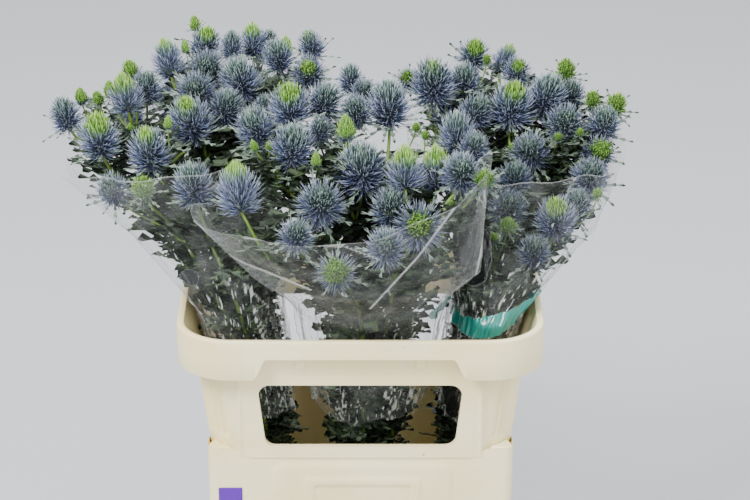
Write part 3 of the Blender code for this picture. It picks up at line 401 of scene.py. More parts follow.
@dataclass
class Arrangement:
    """Where every head and stem is. It repeats the layout that the solids were grown on.

    hidden_look is the way to the tip, and the width in pixels, of heads on the far side.
    """

    sprays_each: int = 12
    nest: float = 0.84
    nest_rounds: int = 120
    route_rounds: int = 90
    stem_radius: float = 0.0024
    twig_radius: float = 0.0019
    margin: float = 0.0022
    film_margin: float = 0.008
    group_rounds: int = 20
    spread: float = 0.9
    curve_reach: float = 0.36
    knots: tuple[float, ...] = (0.160, 0.300, 0.400)
    cut_end: float = 0.0033
    lowest_fork: float = 0.440
    drop: float = 0.035
    spacing: float = 0.017
    lean: float = 0.75
    twig_lift: float = 0.4
    core_top: float = 0.9
    hidden_look: tuple[float, float, float] = (0.0, -15.0, 40.0)
    hidden_lime: float = 0.1
    points: list[np.ndarray] = field(default_factory=list)
    fixed: list[bool] = field(default_factory=list)
    feet: list[bool] = field(default_factory=list)
    owner: list[int] = field(default_factory=list)
    links: list[tuple[int, int]] = field(default_factory=list)
    radii: list[float] = field(default_factory=list)

    def plan(self) -> list[Spray]:
        """Places the heads, gives each stem its own and settles all the stems."""
        sprays = [self.plan_spray(*group) for group in self.group_heads(self.place_heads())]
        self.settle()
        return sprays

    def place_heads(self) -> list[Head]:
        """All heads, moved along their lines of sight until they nest and don't merge."""
        rows = []
        for number, bunch in enumerate(BUNCHES):
            (low, near), (high, far) = bunch.fall
            for px, py, tip_x, tip_y, width, lime in bunch.heads:
                depth = near + (py - low) / (high - low) * (far - near)
                rows.append((number, px, py, tip_x, tip_y, width, depth, 1, lime))
            for px, py, depth in bunch.hidden:
                rows.append((number, px, py, *self.hidden_look, depth, -1, self.hidden_lime))
        depths = np.array([row[6] for row in rows])
        nearest, farthest = np.array([BUNCHES[row[0]].room for row in rows]).T
        radius = np.array([row[5] for row in rows]) / 2 / VIEW.scale
        apart = self.nest * (radius[:, None] + radius)
        lighter = radius[None, :] / (radius[:, None] + radius)
        order = np.arange(len(rows))
        for _ in range(self.nest_rounds):
            places = np.array([VIEW.point(row[1], row[2], y) for row, y in zip(rows, depths)])
            distance = np.linalg.norm(places[:, None] - places, axis=2)
            short = np.clip(apart - distance, 0, None)
            np.fill_diagonal(short, 0)
            ahead = np.sign(depths[:, None] - depths + TINY**2 * (order[:, None] - order))
            depths = depths + (ahead * short * lighter).sum(axis=1) / 2
            depths += [
                BUNCHES[row[0]].way_inside(place, half)
                for row, place, half in zip(rows, places, radius)
            ]
            depths = np.clip(depths, nearest, farthest)
        heads = []
        for (number, px, py, tip_x, tip_y, width, _, toward, lime), depth in zip(rows, depths):
            centre = VIEW.point(px, py, depth)
            scale = VIEW.focal / np.dot(centre - VIEW.eye, VIEW.ahead)
            half_length = HEAD_SLENDER / 2 * width
            lean = math.sqrt(max(0.0, half_length**2 - tip_x**2 - tip_y**2)) * toward
            axis = unit(VIEW.right * tip_x - VIEW.up * tip_y - VIEW.ahead * lean)
            heads.append(Head(number, centre, axis, width / scale, lime))
        return heads

    def group_heads(self, heads: list[Head]) -> list[tuple[int, list[Head]]]:
        """Gives each stem its heads: neighbours in a sleeve share one.

        Args:
            heads: All heads.

        Returns:
            The bunch's number and the heads of each stem.
        """
        groups = []
        for number, bunch in enumerate(BUNCHES):
            own = [head for head in heads if head.bunch == number]
            shares = np.array([bunch.share(head.centre) for head in own])
            seeds = [shares[np.argmax(np.linalg.norm(shares, axis=1))]]
            while len(seeds) < self.sprays_each:
                away = np.min([np.linalg.norm(shares - seed, axis=1) for seed in seeds], axis=0)
                seeds.append(shares[np.argmax(away)])
            seeds = np.array(seeds)
            for _ in range(self.group_rounds):
                nearest = np.argmin(np.linalg.norm(shares[:, None] - seeds, axis=2), axis=1)
                seeds = np.array([shares[nearest == k].mean(axis=0) for k in range(len(seeds))])
            for k in np.lexsort(seeds.T):
                groups.append((number, [head for head, n in zip(own, nearest) if n == k]))
        return groups

    def add_point(
        self, place: np.ndarray, bunch: int, fixed: bool = False, foot: bool = False
    ) -> int:
        """Adds a point of a stem.

        Args:
            place: Where it is.
            bunch: The number of its bunch.
            fixed: Whether it never moves.
            foot: Whether it moves over the floor only.

        Returns:
            The point's number.
        """
        self.points.append(place)
        self.owner.append(bunch)
        self.fixed.append(fixed)
        self.feet.append(foot)
        return len(self.points) - 1

    def add_links(self, chain: list[int], radius: float) -> None:
        """Links the points of a chain in turn."""
        for first, second in zip(chain, chain[1:]):
            self.links.append((first, second))
            self.radii.append(radius)

    def add_head_link(self, foot: int, head: Head) -> None:
        """Adds a head's core as a thick link from its twig's last point."""
        top = self.add_point(head.at(self.core_top), head.bunch, fixed=True)
        self.links.append((foot, top))
        self.radii.append(head.width / 2 * CORE_SHARE)

    def curve(
        self, start: np.ndarray, start_way: np.ndarray, end: np.ndarray, end_way: np.ndarray
    ) -> list[np.ndarray]:
        """Points inside a smooth curve that leaves and arrives in the given directions.

        Args:
            start: Its first point.
            start_way: The direction in which it leaves.
            end: Its last point.
            end_way: The direction in which it arrives.

        Returns:
            The points between the two ends.
        """
        reach = np.linalg.norm(end - start) * self.curve_reach
        near, far = start + unit(start_way) * reach, end - unit(end_way) * reach
        return [
            start * (1 - t) ** 3
            + near * 3 * t * (1 - t) ** 2
            + far * 3 * t**2 * (1 - t)
            + end * t**3
            for t in (1 / 3, 2 / 3)
        ]

    def plan_spray(self, number: int, heads: list[Head]) -> Spray:
        """Lays out one stem: straight up its share of the sleeve, with a fork for each head.

        Args:
            number: The bunch's number.
            heads: The heads that the stem carries.

        Returns:
            The stem with its twigs.
        """
        bunch = BUNCHES[number]
        share = np.mean([bunch.share(head.at(0)) for head in heads], axis=0)
        share *= min(1.0, self.spread / max(np.linalg.norm(share), TINY))
        main = max(heads, key=lambda head: head.centre[2] + head.width)
        side_heads = sorted((h for h in heads if h is not main), key=lambda h: h.at(0)[2])
        highest = main.at(0)[2] - self.drop
        forks = []
        for head in side_heads:
            foot = head.at(0)
            beside = np.linalg.norm((foot - bunch.stem_point(share, foot[2]))[:2])
            height = max(foot[2] - self.drop - self.lean * beside, self.lowest_fork)
            if forks:
                height = max(height, forks[-1] + self.spacing)
            forks.append(height)
        excess = max([0.0] + [height - highest for height in forks])
        forks = [height - excess for height in forks]
        start = bunch.stem_point(share, 0.0)
        start[2] = self.cut_end
        chain = [self.add_point(start, number, foot=True)]
        for height in self.knots:
            if height < min(forks + [highest]) - self.spacing:
                chain.append(self.add_point(bunch.stem_point(share, height), number))
        joints = [self.add_point(bunch.stem_point(share, height), number) for height in forks]
        chain += joints
        last, before = self.points[chain[-1]], self.points[chain[-2]]
        for place in self.curve(last, last - before, main.at(0), main.axis):
            chain.append(self.add_point(place, number))
        chain.append(self.add_point(main.at(0), number, fixed=True))
        self.add_links(chain, self.stem_radius)
        self.add_head_link(chain[-1], main)
        twigs = []
        for joint, head in zip(joints, side_heads):
            fork = self.points[joint]
            way = unit(head.at(0) - fork) + np.array((0.0, 0.0, self.twig_lift))
            twig = [joint]
            for place in self.curve(fork, way, head.at(0), head.axis):
                twig.append(self.add_point(place, number))
            twig.append(self.add_point(head.at(0), number, fixed=True))
            self.add_links(twig, self.twig_radius)
            self.add_head_link(twig[-1], head)
            twigs.append(Twig(twig, head))
        return Spray(number, chain, joints, main, twigs)

    def settle(self) -> None:
        """Moves the loose points until no two links that don't meet come too close."""
        points = np.array(self.points)
        loose = ~np.array(self.fixed)
        links = np.array(self.links)
        radii = np.array(self.radii)
        first, second = np.triu_indices(len(links), 1)
        meet = (links[first][:, :, None] == links[second][:, None, :]).any(axis=(1, 2))
        still = ~loose[links].any(axis=1)
        useful = ~meet & ~(still[first] & still[second])
        first, second = first[useful], second[useful]
        need = radii[first] + radii[second] + self.margin
        for _ in range(self.route_rounds):
            move = np.zeros_like(points)
            a, b = points[links[first, 0]], points[links[first, 1]]
            c, d = points[links[second, 0]], points[links[second, 1]]
            s, t, between = nearest_on_links(a, b, c, d)
            distance = np.linalg.norm(between, axis=1)
            close = distance < need
            push = between[close] / np.maximum(distance[close], TINY)[:, None]
            push *= (need - distance)[close][:, None] / 2
            for end, share in ((0, 1 - s[close]), (1, s[close])):
                np.add.at(move, links[first[close], end], push * share[:, None])
            for end, share in ((0, 1 - t[close]), (1, t[close])):
                np.add.at(move, links[second[close], end], -push * share[:, None])
            move[self.feet, 2] = 0.0
            points[loose] += move[loose]
            self.keep_in_sleeves(points, loose)
        self.points = list(points)

    def keep_in_sleeves(self, points: np.ndarray, loose: np.ndarray) -> None:
        """Brings loose points that left their sleeve below its edge back inside it."""
        for index in np.nonzero(loose)[0]:
            bunch = BUNCHES[self.owner[index]]
            share = bunch.share(points[index])
            reach = np.linalg.norm(share)
            x, y, half_width, half_depth = bunch.row(points[index][2])
            limit = 1 - self.film_margin / half_width
            edge = float(bunch.edge(math.atan2(share[1], share[0])))
            if reach > limit and points[index][2] < edge + self.film_margin:
                share *= limit / reach
                points[index][0] = x + share[0] * half_width
                points[index][1] = y + share[1] * half_depth


class Nodes:
    """A material under construction, with a short way to add each kind of node."""

    def __init__(self, name: str) -> None:
        """Starts a material with its principled shader."""
        self.material = bpy.data.materials.new(name)
        self.material.use_nodes = True
        self.tree = self.material.node_tree
        self.shader = self.tree.nodes["Principled BSDF"]

    def add(self, kind: str, inputs: dict | None = None, **settings: object) -> bpy.types.Node:
        """Adds a node.

        Args:
            kind: Its type.
            inputs: What goes into its sockets: other sockets, or values.
            **settings: Its own settings.

        Returns:
            The node.
        """
        node = self.tree.nodes.new(kind)
        for name, value in settings.items():
            setattr(node, name, value)
        for name, value in (inputs or {}).items():
            if isinstance(value, bpy.types.NodeSocket):
                self.tree.links.new(value, node.inputs[name])
            else:
                node.inputs[name].default_value = value
        return node

    def value(self, name: str) -> bpy.types.NodeSocket:
        """A number that the mesh holds for each of its points."""
        return self.add("ShaderNodeAttribute", attribute_name=name).outputs["Fac"]

    def place(self) -> bpy.types.NodeSocket:
        """The point's place in the object's own frame."""
        return self.add("ShaderNodeTexCoord").outputs["Object"]

    def noise(
        self, scale: float, detail: float = 3.0, vector: bpy.types.NodeSocket | None = None
    ) -> bpy.types.NodeSocket:
        """Soft noise of so many waves to the metre."""
        inputs = {"Scale": scale, "Detail": detail, "Vector": vector or self.place()}
        return self.add("ShaderNodeTexNoise", inputs).outputs["Fac"]

    def ramp(self, share: bpy.types.NodeSocket, *stops: tuple) -> bpy.types.NodeSocket:
        """Colours by a share from 0 to 1.

        Args:
            share: The share.
            *stops: Pairs of a place and a colour there.

        Returns:
            The colour.
        """
        node = self.add("ShaderNodeValToRGB", {"Fac": share})
        elements = node.color_ramp.elements
        while len(elements) < len(stops):
            elements.new(0.5)
        for element, (place, colour) in zip(elements, stops):
            element.position = place
            element.color = colour
        return node.outputs["Color"]

    def grade(
        self, share: bpy.types.NodeSocket, start: float, end: float, low: float, high: float
    ) -> bpy.types.NodeSocket:
        """Maps start to low and end to high on a smooth curve."""
        inputs = {
            "Value": share, "From Min": start, "From Max": end, "To Min": low, "To Max": high,
        }
        kind = "ShaderNodeMapRange"
        return self.add(kind, inputs, interpolation_type="SMOOTHSTEP").outputs["Result"]

    def maths(self, operation: str, *values: object) -> bpy.types.NodeSocket:
        """One sum on numbers or number sockets."""
        inputs = dict(enumerate(values))
        return self.add("ShaderNodeMath", inputs, operation=operation).outputs[0]

    def mix(self, share: object, first: object, second: object) -> bpy.types.NodeSocket:
        """Goes from the first colour to the second."""
        node = self.add("ShaderNodeMix", {0: share, 6: first, 7: second}, data_type="RGBA")
        return node.outputs[2]

    def multiply(self, colour: object, other: object) -> bpy.types.NodeSocket:
        """One colour times another."""
        inputs = {0: 1.0, 6: colour, 7: other}
        node = self.add("ShaderNodeMix", inputs, data_type="RGBA", blend_type="MULTIPLY")
        return node.outputs[2]

    def shaded(
        self, colour: object, tone: bpy.types.NodeSocket, low: float, high: float
    ) -> bpy.types.NodeSocket:
        """The colour, dimmed to low or lit to high by a point's tone."""
        light = self.grade(tone, 0.0, 1.0, low, high)
        grey = self.add("ShaderNodeCombineColor", {0: light, 1: light, 2: light}).outputs[0]
        return self.multiply(colour, grey)

    def bump(self, height: bpy.types.NodeSocket, strength: float, distance: float) -> None:
        """Roughens the surface by a height."""
        inputs = {"Height": height, "Strength": strength, "Distance": distance}
        normal = self.add("ShaderNodeBump", inputs).outputs["Normal"]
        self.tree.links.new(normal, self.shader.inputs["Normal"])

    def finish(self, **sockets: object) -> bpy.types.Material:
        """Sets the shader's sockets, written with _ for a space, and gives the material."""
        for name, value in sockets.items():
            socket = self.shader.inputs[name.replace("_", " ")]
            if isinstance(value, bpy.types.NodeSocket):
                self.tree.links.new(value, socket)
            else:
                socket.default_value = value
        return self.material


@dataclass(frozen=True)
class SpineFinish:
    """Spines: violet-blue at the root and silvery at the tip, or lime where they are young."""

    name: str = "sea_holly_spines"
    light: tuple[float, float] = (0.44, 0.96)
    roughness: float = 0.5

    def build(self) -> bpy.types.Material:
        """Makes the material. tip runs along a spine, hue from blue over grey-green to lime."""
        nodes = Nodes(self.name)
        tip, hue, tone = nodes.value("tip"), nodes.value("hue"), nodes.value("tone")
        blue = nodes.ramp(
            tip,
            (0.0, tint(34, 38, 66)),
            (0.35, tint(84, 95, 142)),
            (0.7, tint(146, 157, 192)),
            (1.0, tint(216, 223, 234)),
        )
        grey = nodes.ramp(
            tip,
            (0.0, tint(30, 46, 46)),
            (0.35, tint(78, 108, 106)),
            (0.7, tint(142, 168, 166)),
            (1.0, tint(214, 226, 220)),
        )
        lime = nodes.ramp(
            tip,
            (0.0, tint(48, 86, 20)),
            (0.4, tint(104, 160, 40)),
            (1.0, tint(178, 222, 92)),
        )
        cool = nodes.mix(nodes.grade(hue, 0.05, 0.45, 0.0, 1.0), blue, grey)
        colour = nodes.mix(nodes.grade(hue, 0.5, 0.95, 0.0, 1.0), cool, lime)
        return nodes.finish(
            Base_Color=nodes.shaded(colour, tone, *self.light),
            Roughness=self.roughness,
            Specular_IOR_Level=0.35,
            Sheen_Weight=0.15,
        )


@dataclass(frozen=True)
class LeafFinish:
    """Bracts and leaves: dark grey-green between pale veins and pale spiny edges."""

    name: str = "sea_holly_leaves"
    light: tuple[float, float] = (0.42, 0.92)
    roughness: float = 0.55

    def build(self) -> bpy.types.Material:
        """Makes the material. tip is 1 on a vein, hue is 0 on dark leaves and 1 on bracts."""
        nodes = Nodes(self.name)
        tip, hue, tone = nodes.value("tip"), nodes.value("hue"), nodes.value("tone")
        patches = nodes.noise(140.0, 4.0)
        dark = nodes.mix(patches, tint(16, 27, 16), tint(46, 64, 40))
        pale = nodes.mix(patches, tint(76, 100, 92), tint(122, 146, 132))
        blade = nodes.mix(hue, dark, pale)
        vein = nodes.mix(hue, tint(84, 106, 62), tint(184, 200, 182))
        colour = nodes.mix(nodes.grade(tip, 0.35, 1.0, 0.0, 0.85), blade, vein)
        nodes.bump(nodes.noise(900.0, 2.0), 0.3, 0.0004)
        return nodes.finish(
            Base_Color=nodes.shaded(colour, tone, *self.light),
            Roughness=nodes.grade(patches, 0.3, 0.7, self.roughness - 0.12, self.roughness + 0.1),
            Specular_IOR_Level=0.4,
        )


@dataclass(frozen=True)
class StemFinish:
    """Stems: fresh green, streaked along their length, with painted shade that makes them darker low
    down in the bucket.
    """

    name: str = "sea_holly_stems"
    light: tuple[float, float] = (0.55, 0.95)

    def build(self) -> bpy.types.Material:
        """Makes the material. hue is 0 at the cut end and 1 under the heads; low values paint shade.
        """
        nodes = Nodes(self.name)
        hue, tone = nodes.value("hue"), nodes.value("tone")
        along = {"Vector": nodes.place(), "Scale": (1, 1, 0.05)}
        stretched = nodes.add("ShaderNodeMapping", along)
        streaks = nodes.noise(900.0, 3.0, stretched.outputs["Vector"])
        fresh = nodes.mix(streaks, tint(92, 132, 44), tint(160, 190, 84))
        # Painted shade: the darker colour for the lower stem.
        painted_shade_low = nodes.mix(streaks, tint(84, 118, 34), tint(140, 176, 66))
        colour = nodes.mix(hue, painted_shade_low, fresh)
        nodes.bump(streaks, 0.35, 0.0005)
        return nodes.finish(
            Base_Color=nodes.shaded(colour, tone, *self.light),
            Roughness=0.45,
            Specular_IOR_Level=0.45,
        )


@dataclass(frozen=True)
class PlasticFinish:
    """Cream moulded plastic that has been about: mottled, scuffed, speckled and a little dirty."""

    name: str
    clean: tuple[float, float, float, float] = tint(252, 240, 192)
    worn: tuple[float, float, float, float] = tint(247, 228, 170)

    def build(self) -> bpy.types.Material:
        """Makes the material."""
        nodes = Nodes(self.name)
        broad = nodes.noise(9.0, 4.0)
        mottle = nodes.noise(55.0, 5.0)
        colour = nodes.mix(nodes.grade(broad, 0.35, 0.7, 0.0, 1.0), self.clean, self.worn)
        colour = nodes.mix(nodes.grade(mottle, 0.5, 0.8, 0.0, 0.35), colour, tint(238, 230, 208))
        cells = nodes.add("ShaderNodeTexVoronoi", {"Vector": nodes.place(), "Scale": 42.0})
        near = nodes.grade(cells.outputs["Distance"], 0.035, 0.06, 1.0, 0.0)
        chosen = nodes.add("ShaderNodeSeparateColor", {0: cells.outputs["Color"]}).outputs[0]
        speck = nodes.maths("MULTIPLY", near, nodes.grade(chosen, 0.86, 0.88, 0.0, 0.75))
        colour = nodes.mix(speck, colour, tint(96, 84, 62))
        long_way = nodes.add(
            "ShaderNodeMapping",
            {"Vector": nodes.place(), "Rotation": (0.3, 0.5, 0.9), "Scale": (1.0, 0.06, 1.0)},
        )
        scratch = nodes.noise(420.0, 2.0, long_way.outputs["Vector"])
        mark = nodes.grade(scratch, 0.68, 0.74, 0.0, 0.3)
        colour = nodes.mix(mark, colour, tint(205, 190, 158))
        grain = nodes.noise(1400.0, 2.0)
        nodes.bump(nodes.maths("ADD", nodes.maths("MULTIPLY", grain, 0.35), mark), 0.12, 0.0006)
        return nodes.finish(
            Base_Color=colour,
            Roughness=nodes.grade(mottle, 0.3, 0.8, 0.36, 0.56),
            Specular_IOR_Level=0.4,
            Subsurface_Weight=0.06,
            Subsurface_Radius=(0.012, 0.008, 0.004),
            Subsurface_Scale=0.4,
        )


@dataclass(frozen=True)
class LabelFinish:
    """A plain purple paper label, a little rubbed."""

    name: str = "plain_purple_label"

    def build(self) -> bpy.types.Material:
        """Makes the material."""
        nodes = Nodes(self.name)
        rubbed = nodes.noise(260.0, 5.0)
        colour = nodes.mix(
            nodes.grade(rubbed, 0.55, 0.8, 0.0, 0.6), tint(86, 22, 158), tint(116, 62, 176)
        )
        nodes.bump(nodes.noise(2500.0, 2.0), 0.1, 0.0002)
        return nodes.finish(
            Base_Color=colour, Roughness=nodes.grade(rubbed, 0.3, 0.7, 0.3, 0.5)
        )


@dataclass(frozen=True)
class WaterFinish:
    """Still water, a little clouded by the stems."""

    name: str = "clouded_water"

    def build(self) -> bpy.types.Material:
        """Makes the material."""
        nodes = Nodes(self.name)
        cloud = nodes.noise(30.0, 4.0)
        nodes.bump(nodes.noise(70.0, 2.0), 0.15, 0.002)
        return nodes.finish(
            Base_Color=nodes.mix(cloud, tint(120, 132, 96), tint(170, 182, 150)),
            Roughness=nodes.grade(cloud, 0.3, 0.7, 0.03, 0.09),
            IOR=1.33,
            Transmission_Weight=0.75,
        )


@dataclass(frozen=True)
class Print:
    """A plain patch of ink on a sleeve: an ellipsoid in which the film is printed.

    turn is about the Y axis, ink is the colour, and cover is how much the ink hides.
    """

    middle: tuple[float, float, float]
    half: tuple[float, float, float]
    turn: float
    ink: tuple[float, float, float, float]
    cover: float = 0.97


@dataclass(frozen=True)
class FilmFinish:
    """Clear film: a faint haze, glossy creases that are also painted whiter and more opaque as
    highlights, white specks and plain printed patches.
    """

    name: str
    prints: tuple[Print, ...] = ()

    def build(self) -> bpy.types.Material:
        """Makes the material. crease is how sharply the film is folded at a point, and it paints a
        highlight there.
        """
        nodes = Nodes(self.name)
        crease = nodes.value("crease")
        place = nodes.place()
        facing = nodes.add("ShaderNodeLayerWeight", {"Blend": 0.35}).outputs["Facing"]
        edge_on = nodes.grade(facing, 0.25, 1.0, 0.0, 0.30)
        cells = nodes.add("ShaderNodeTexVoronoi", {"Vector": place, "Scale": 210.0})
        chosen = nodes.add("ShaderNodeSeparateColor", {0: cells.outputs["Color"]}).outputs[0]
        near = nodes.grade(cells.outputs["Distance"], 0.05, 0.10, 1.0, 0.0)
        speck = nodes.maths("MULTIPLY", near, nodes.grade(chosen, 0.7, 0.72, 0.0, 1.0))
        cloud = nodes.noise(38.0, 5.0)
        haze = nodes.grade(cloud, 0.35, 0.75, 0.02, 0.11)
        # Painted highlight: creases turn whiter and more opaque, which also lets the real gloss
        # show.
        crease_highlight = nodes.grade(crease, 0.25, 1.0, 0.0, 0.55)
        alpha = nodes.maths("MAXIMUM", nodes.maths("ADD", haze, edge_on), crease_highlight)
        alpha = nodes.maths("MAXIMUM", alpha, nodes.maths("MULTIPLY", speck, 0.75))
        colour = nodes.mix(
            nodes.maths("MAXIMUM", crease_highlight, speck), tint(196, 200, 198), tint(236, 238, 232)
        )
        wobble = nodes.add("ShaderNodeTexNoise", {"Vector": place, "Scale": 60.0, "Detail": 3.0})
        offset = nodes.add(
            "ShaderNodeVectorMath",
            {0: wobble.outputs["Color"], 1: (-0.5, -0.5, -0.5)},
            operation="ADD",
        )
        spread = nodes.add(
            "ShaderNodeVectorMath", {0: offset.outputs[0], "Scale": 0.006}, operation="SCALE"
        )
        shifted = nodes.add(
            "ShaderNodeVectorMath", {0: place, 1: spread.outputs[0]}, operation="ADD"
        )
        for patch in self.prints:
            inputs = {
                "Vector": shifted.outputs[0],
                "Location": patch.middle,
                "Rotation": (0.0, patch.turn, 0.0),
                "Scale": patch.half,
            }
            local = nodes.add("ShaderNodeMapping", inputs, vector_type="TEXTURE")
            away = nodes.add(
                "ShaderNodeVectorMath", {0: local.outputs["Vector"]}, operation="LENGTH"
            )
            inside = nodes.grade(away.outputs["Value"], 0.96, 1.02, 1.0, 0.0)
            worn = nodes.maths("MULTIPLY", inside, nodes.grade(speck, 0.0, 1.0, 1.0, 0.75))
            colour = nodes.mix(worn, colour, patch.ink)
            alpha = nodes.maths("MAXIMUM", alpha, nodes.maths("MULTIPLY", inside, patch.cover))
        nodes.bump(nodes.noise(300.0, 4.0), 0.35, 0.0012)
        material = nodes.finish(
            Base_Color=colour,
            Alpha=alpha,
            Roughness=nodes.grade(cloud, 0.3, 0.7, 0.08, 0.2),
            Specular_IOR_Level=0.9,
        )
        material.surface_render_method = "BLENDED"
        return material


# The inks, each sleeve's printed patches, and its long folds in picture pixels.
TEAL = tint(20, 136, 126)
INK = tint(26, 28, 28)
PRINTS = (
    (Print((-0.185, -0.05, 0.475), (0.010, 0.10, 0.009), 0.5, INK, 0.9),),
    (Print((0.093, -0.12, 0.443), (0.020, 0.08, 0.018), 0.0, TEAL, 0.8),),
    (
        Print((0.120, -0.08, 0.500), (0.024, 0.08, 0.036), 0.0, INK),
        Print((0.145, -0.06, 0.430), (0.060, 0.12, 0.012), -0.3, TEAL),
        Print((0.098, -0.09, 0.335), (0.013, 0.06, 0.036), 0.0, INK),
        Print((0.126, -0.09, 0.338), (0.013, 0.06, 0.032), 0.3, TEAL),
    ),
)
# The folds on which a highlight is painted.
FOLDS = (
    (((74, 170), (111, 227), (124, 251)), ((244, 284), (267, 306))),
    (
        ((184, 209), (223, 252), (244, 263), (282, 278), (311, 290)),
        ((244, 238), (341, 247)),
        ((304, 231), (380, 260)),
        ((484, 190), (487, 216), (481, 252), (476, 275), (465, 301), (462, 331)),
        ((468, 190), (418, 257), (370, 309)),
    ),
    (((556, 301), (523, 322)),),
)


class Growth:
    """Gathers triangles with their finishes and point values, and turns them into one piece."""

    def __init__(self) -> None:
        """Starts empty."""
        self.points: list[np.ndarray] = []
        self.faces: list[np.ndarray] = []
        self.values: list[np.ndarray] = []
        self.fills: list[np.ndarray] = []
        self.count = 0

    def add(
        self,
        points: np.ndarray,
        faces: np.ndarray,
        fill: Fill,
        tip: float | np.ndarray,
        hue: float | np.ndarray,
        tone: float | np.ndarray,
    ) -> None:
        """Adds triangles.

        Args:
            points: Rows of x, y and z.
            faces: Rows of three point numbers.
            fill: Their finish.
            tip: The tip value of all points, or of each.
            hue: The hue value of all points, or of each.
            tone: The tone value of all points, or of each.
        """
        size = len(points)
        rows = [np.broadcast_to(np.asarray(value, float), size) for value in (tip, hue, tone)]
        self.points.append(points)
        self.faces.append(faces + self.count)
        self.values.append(np.stack(rows, axis=1))
        self.fills.append(np.full(len(faces), fill.value))
        self.count += size

    def piece(self, name: str, finishes: list[bpy.types.Material]) -> bpy.types.Object:
        """Makes the object.

        Args:
            name: The piece's name.
            finishes: Its materials, in the order of Fill.

        Returns:
            The object, linked into the scene.
        """
        points = np.concatenate(self.points)
        faces = np.concatenate(self.faces)
        values = np.concatenate(self.values)
        mesh = mesh_from(name, points, faces)
        mesh.polygons.foreach_set("material_index", np.concatenate(self.fills).astype(np.int32))
        for column, label in enumerate(("tip", "hue", "tone")):
            store = mesh.attributes.new(label, "FLOAT", "POINT")
            store.data.foreach_set("value", values[:, column].astype(np.float32))
        for finish in finishes:
            mesh.materials.append(finish)
        mesh.update()
        return link_piece(name, mesh)


def mesh_from(name: str, points: np.ndarray, faces: np.ndarray) -> bpy.types.Mesh:
    """Makes a mesh from faces that all have the same number of corners.

    Args:
        name: The mesh's name.
        points: Rows of x, y and z.
        faces: Rows of three or four point numbers.

    Returns:
        The mesh, smooth shaded.
    """
    corners = faces.shape[1]
    mesh = bpy.data.meshes.new(name)
    mesh.vertices.add(len(points))
    mesh.vertices.foreach_set("co", points.astype(np.float32).ravel())
    mesh.loops.add(faces.size)
    mesh.loops.foreach_set("vertex_index", faces.astype(np.int32).ravel())
    mesh.polygons.add(len(faces))
    mesh.polygons.foreach_set("loop_start", np.arange(0, faces.size, corners, dtype=np.int32))
    mesh.update(calc_edges=True)
    mesh.shade_smooth()
    return mesh


def link_piece(name: str, mesh: bpy.types.Mesh) -> bpy.types.Object:
    """Puts a mesh into the scene as an object."""
    item = bpy.data.objects.new(name, mesh)
    bpy.context.scene.collection.objects.link(item)
    return item


def frames(ways: np.ndarray, hint: np.ndarray) -> tuple[np.ndarray, np.ndarray]:
    """Two directions square to each way.

    Args:
        ways: Rows of unit directions.
        hint: A direction, or rows of them, that the second result leans to.

    Returns:
        Rows of side directions and rows of upward directions.
    """
    side = np.cross(ways, hint)
    weak = np.linalg.norm(side, axis=1) < 1e-3
    side[weak] = np.cross(ways[weak], (0.3, 1.0, 0.1))
    side = unit(side)
    return side, np.cross(side, ways)


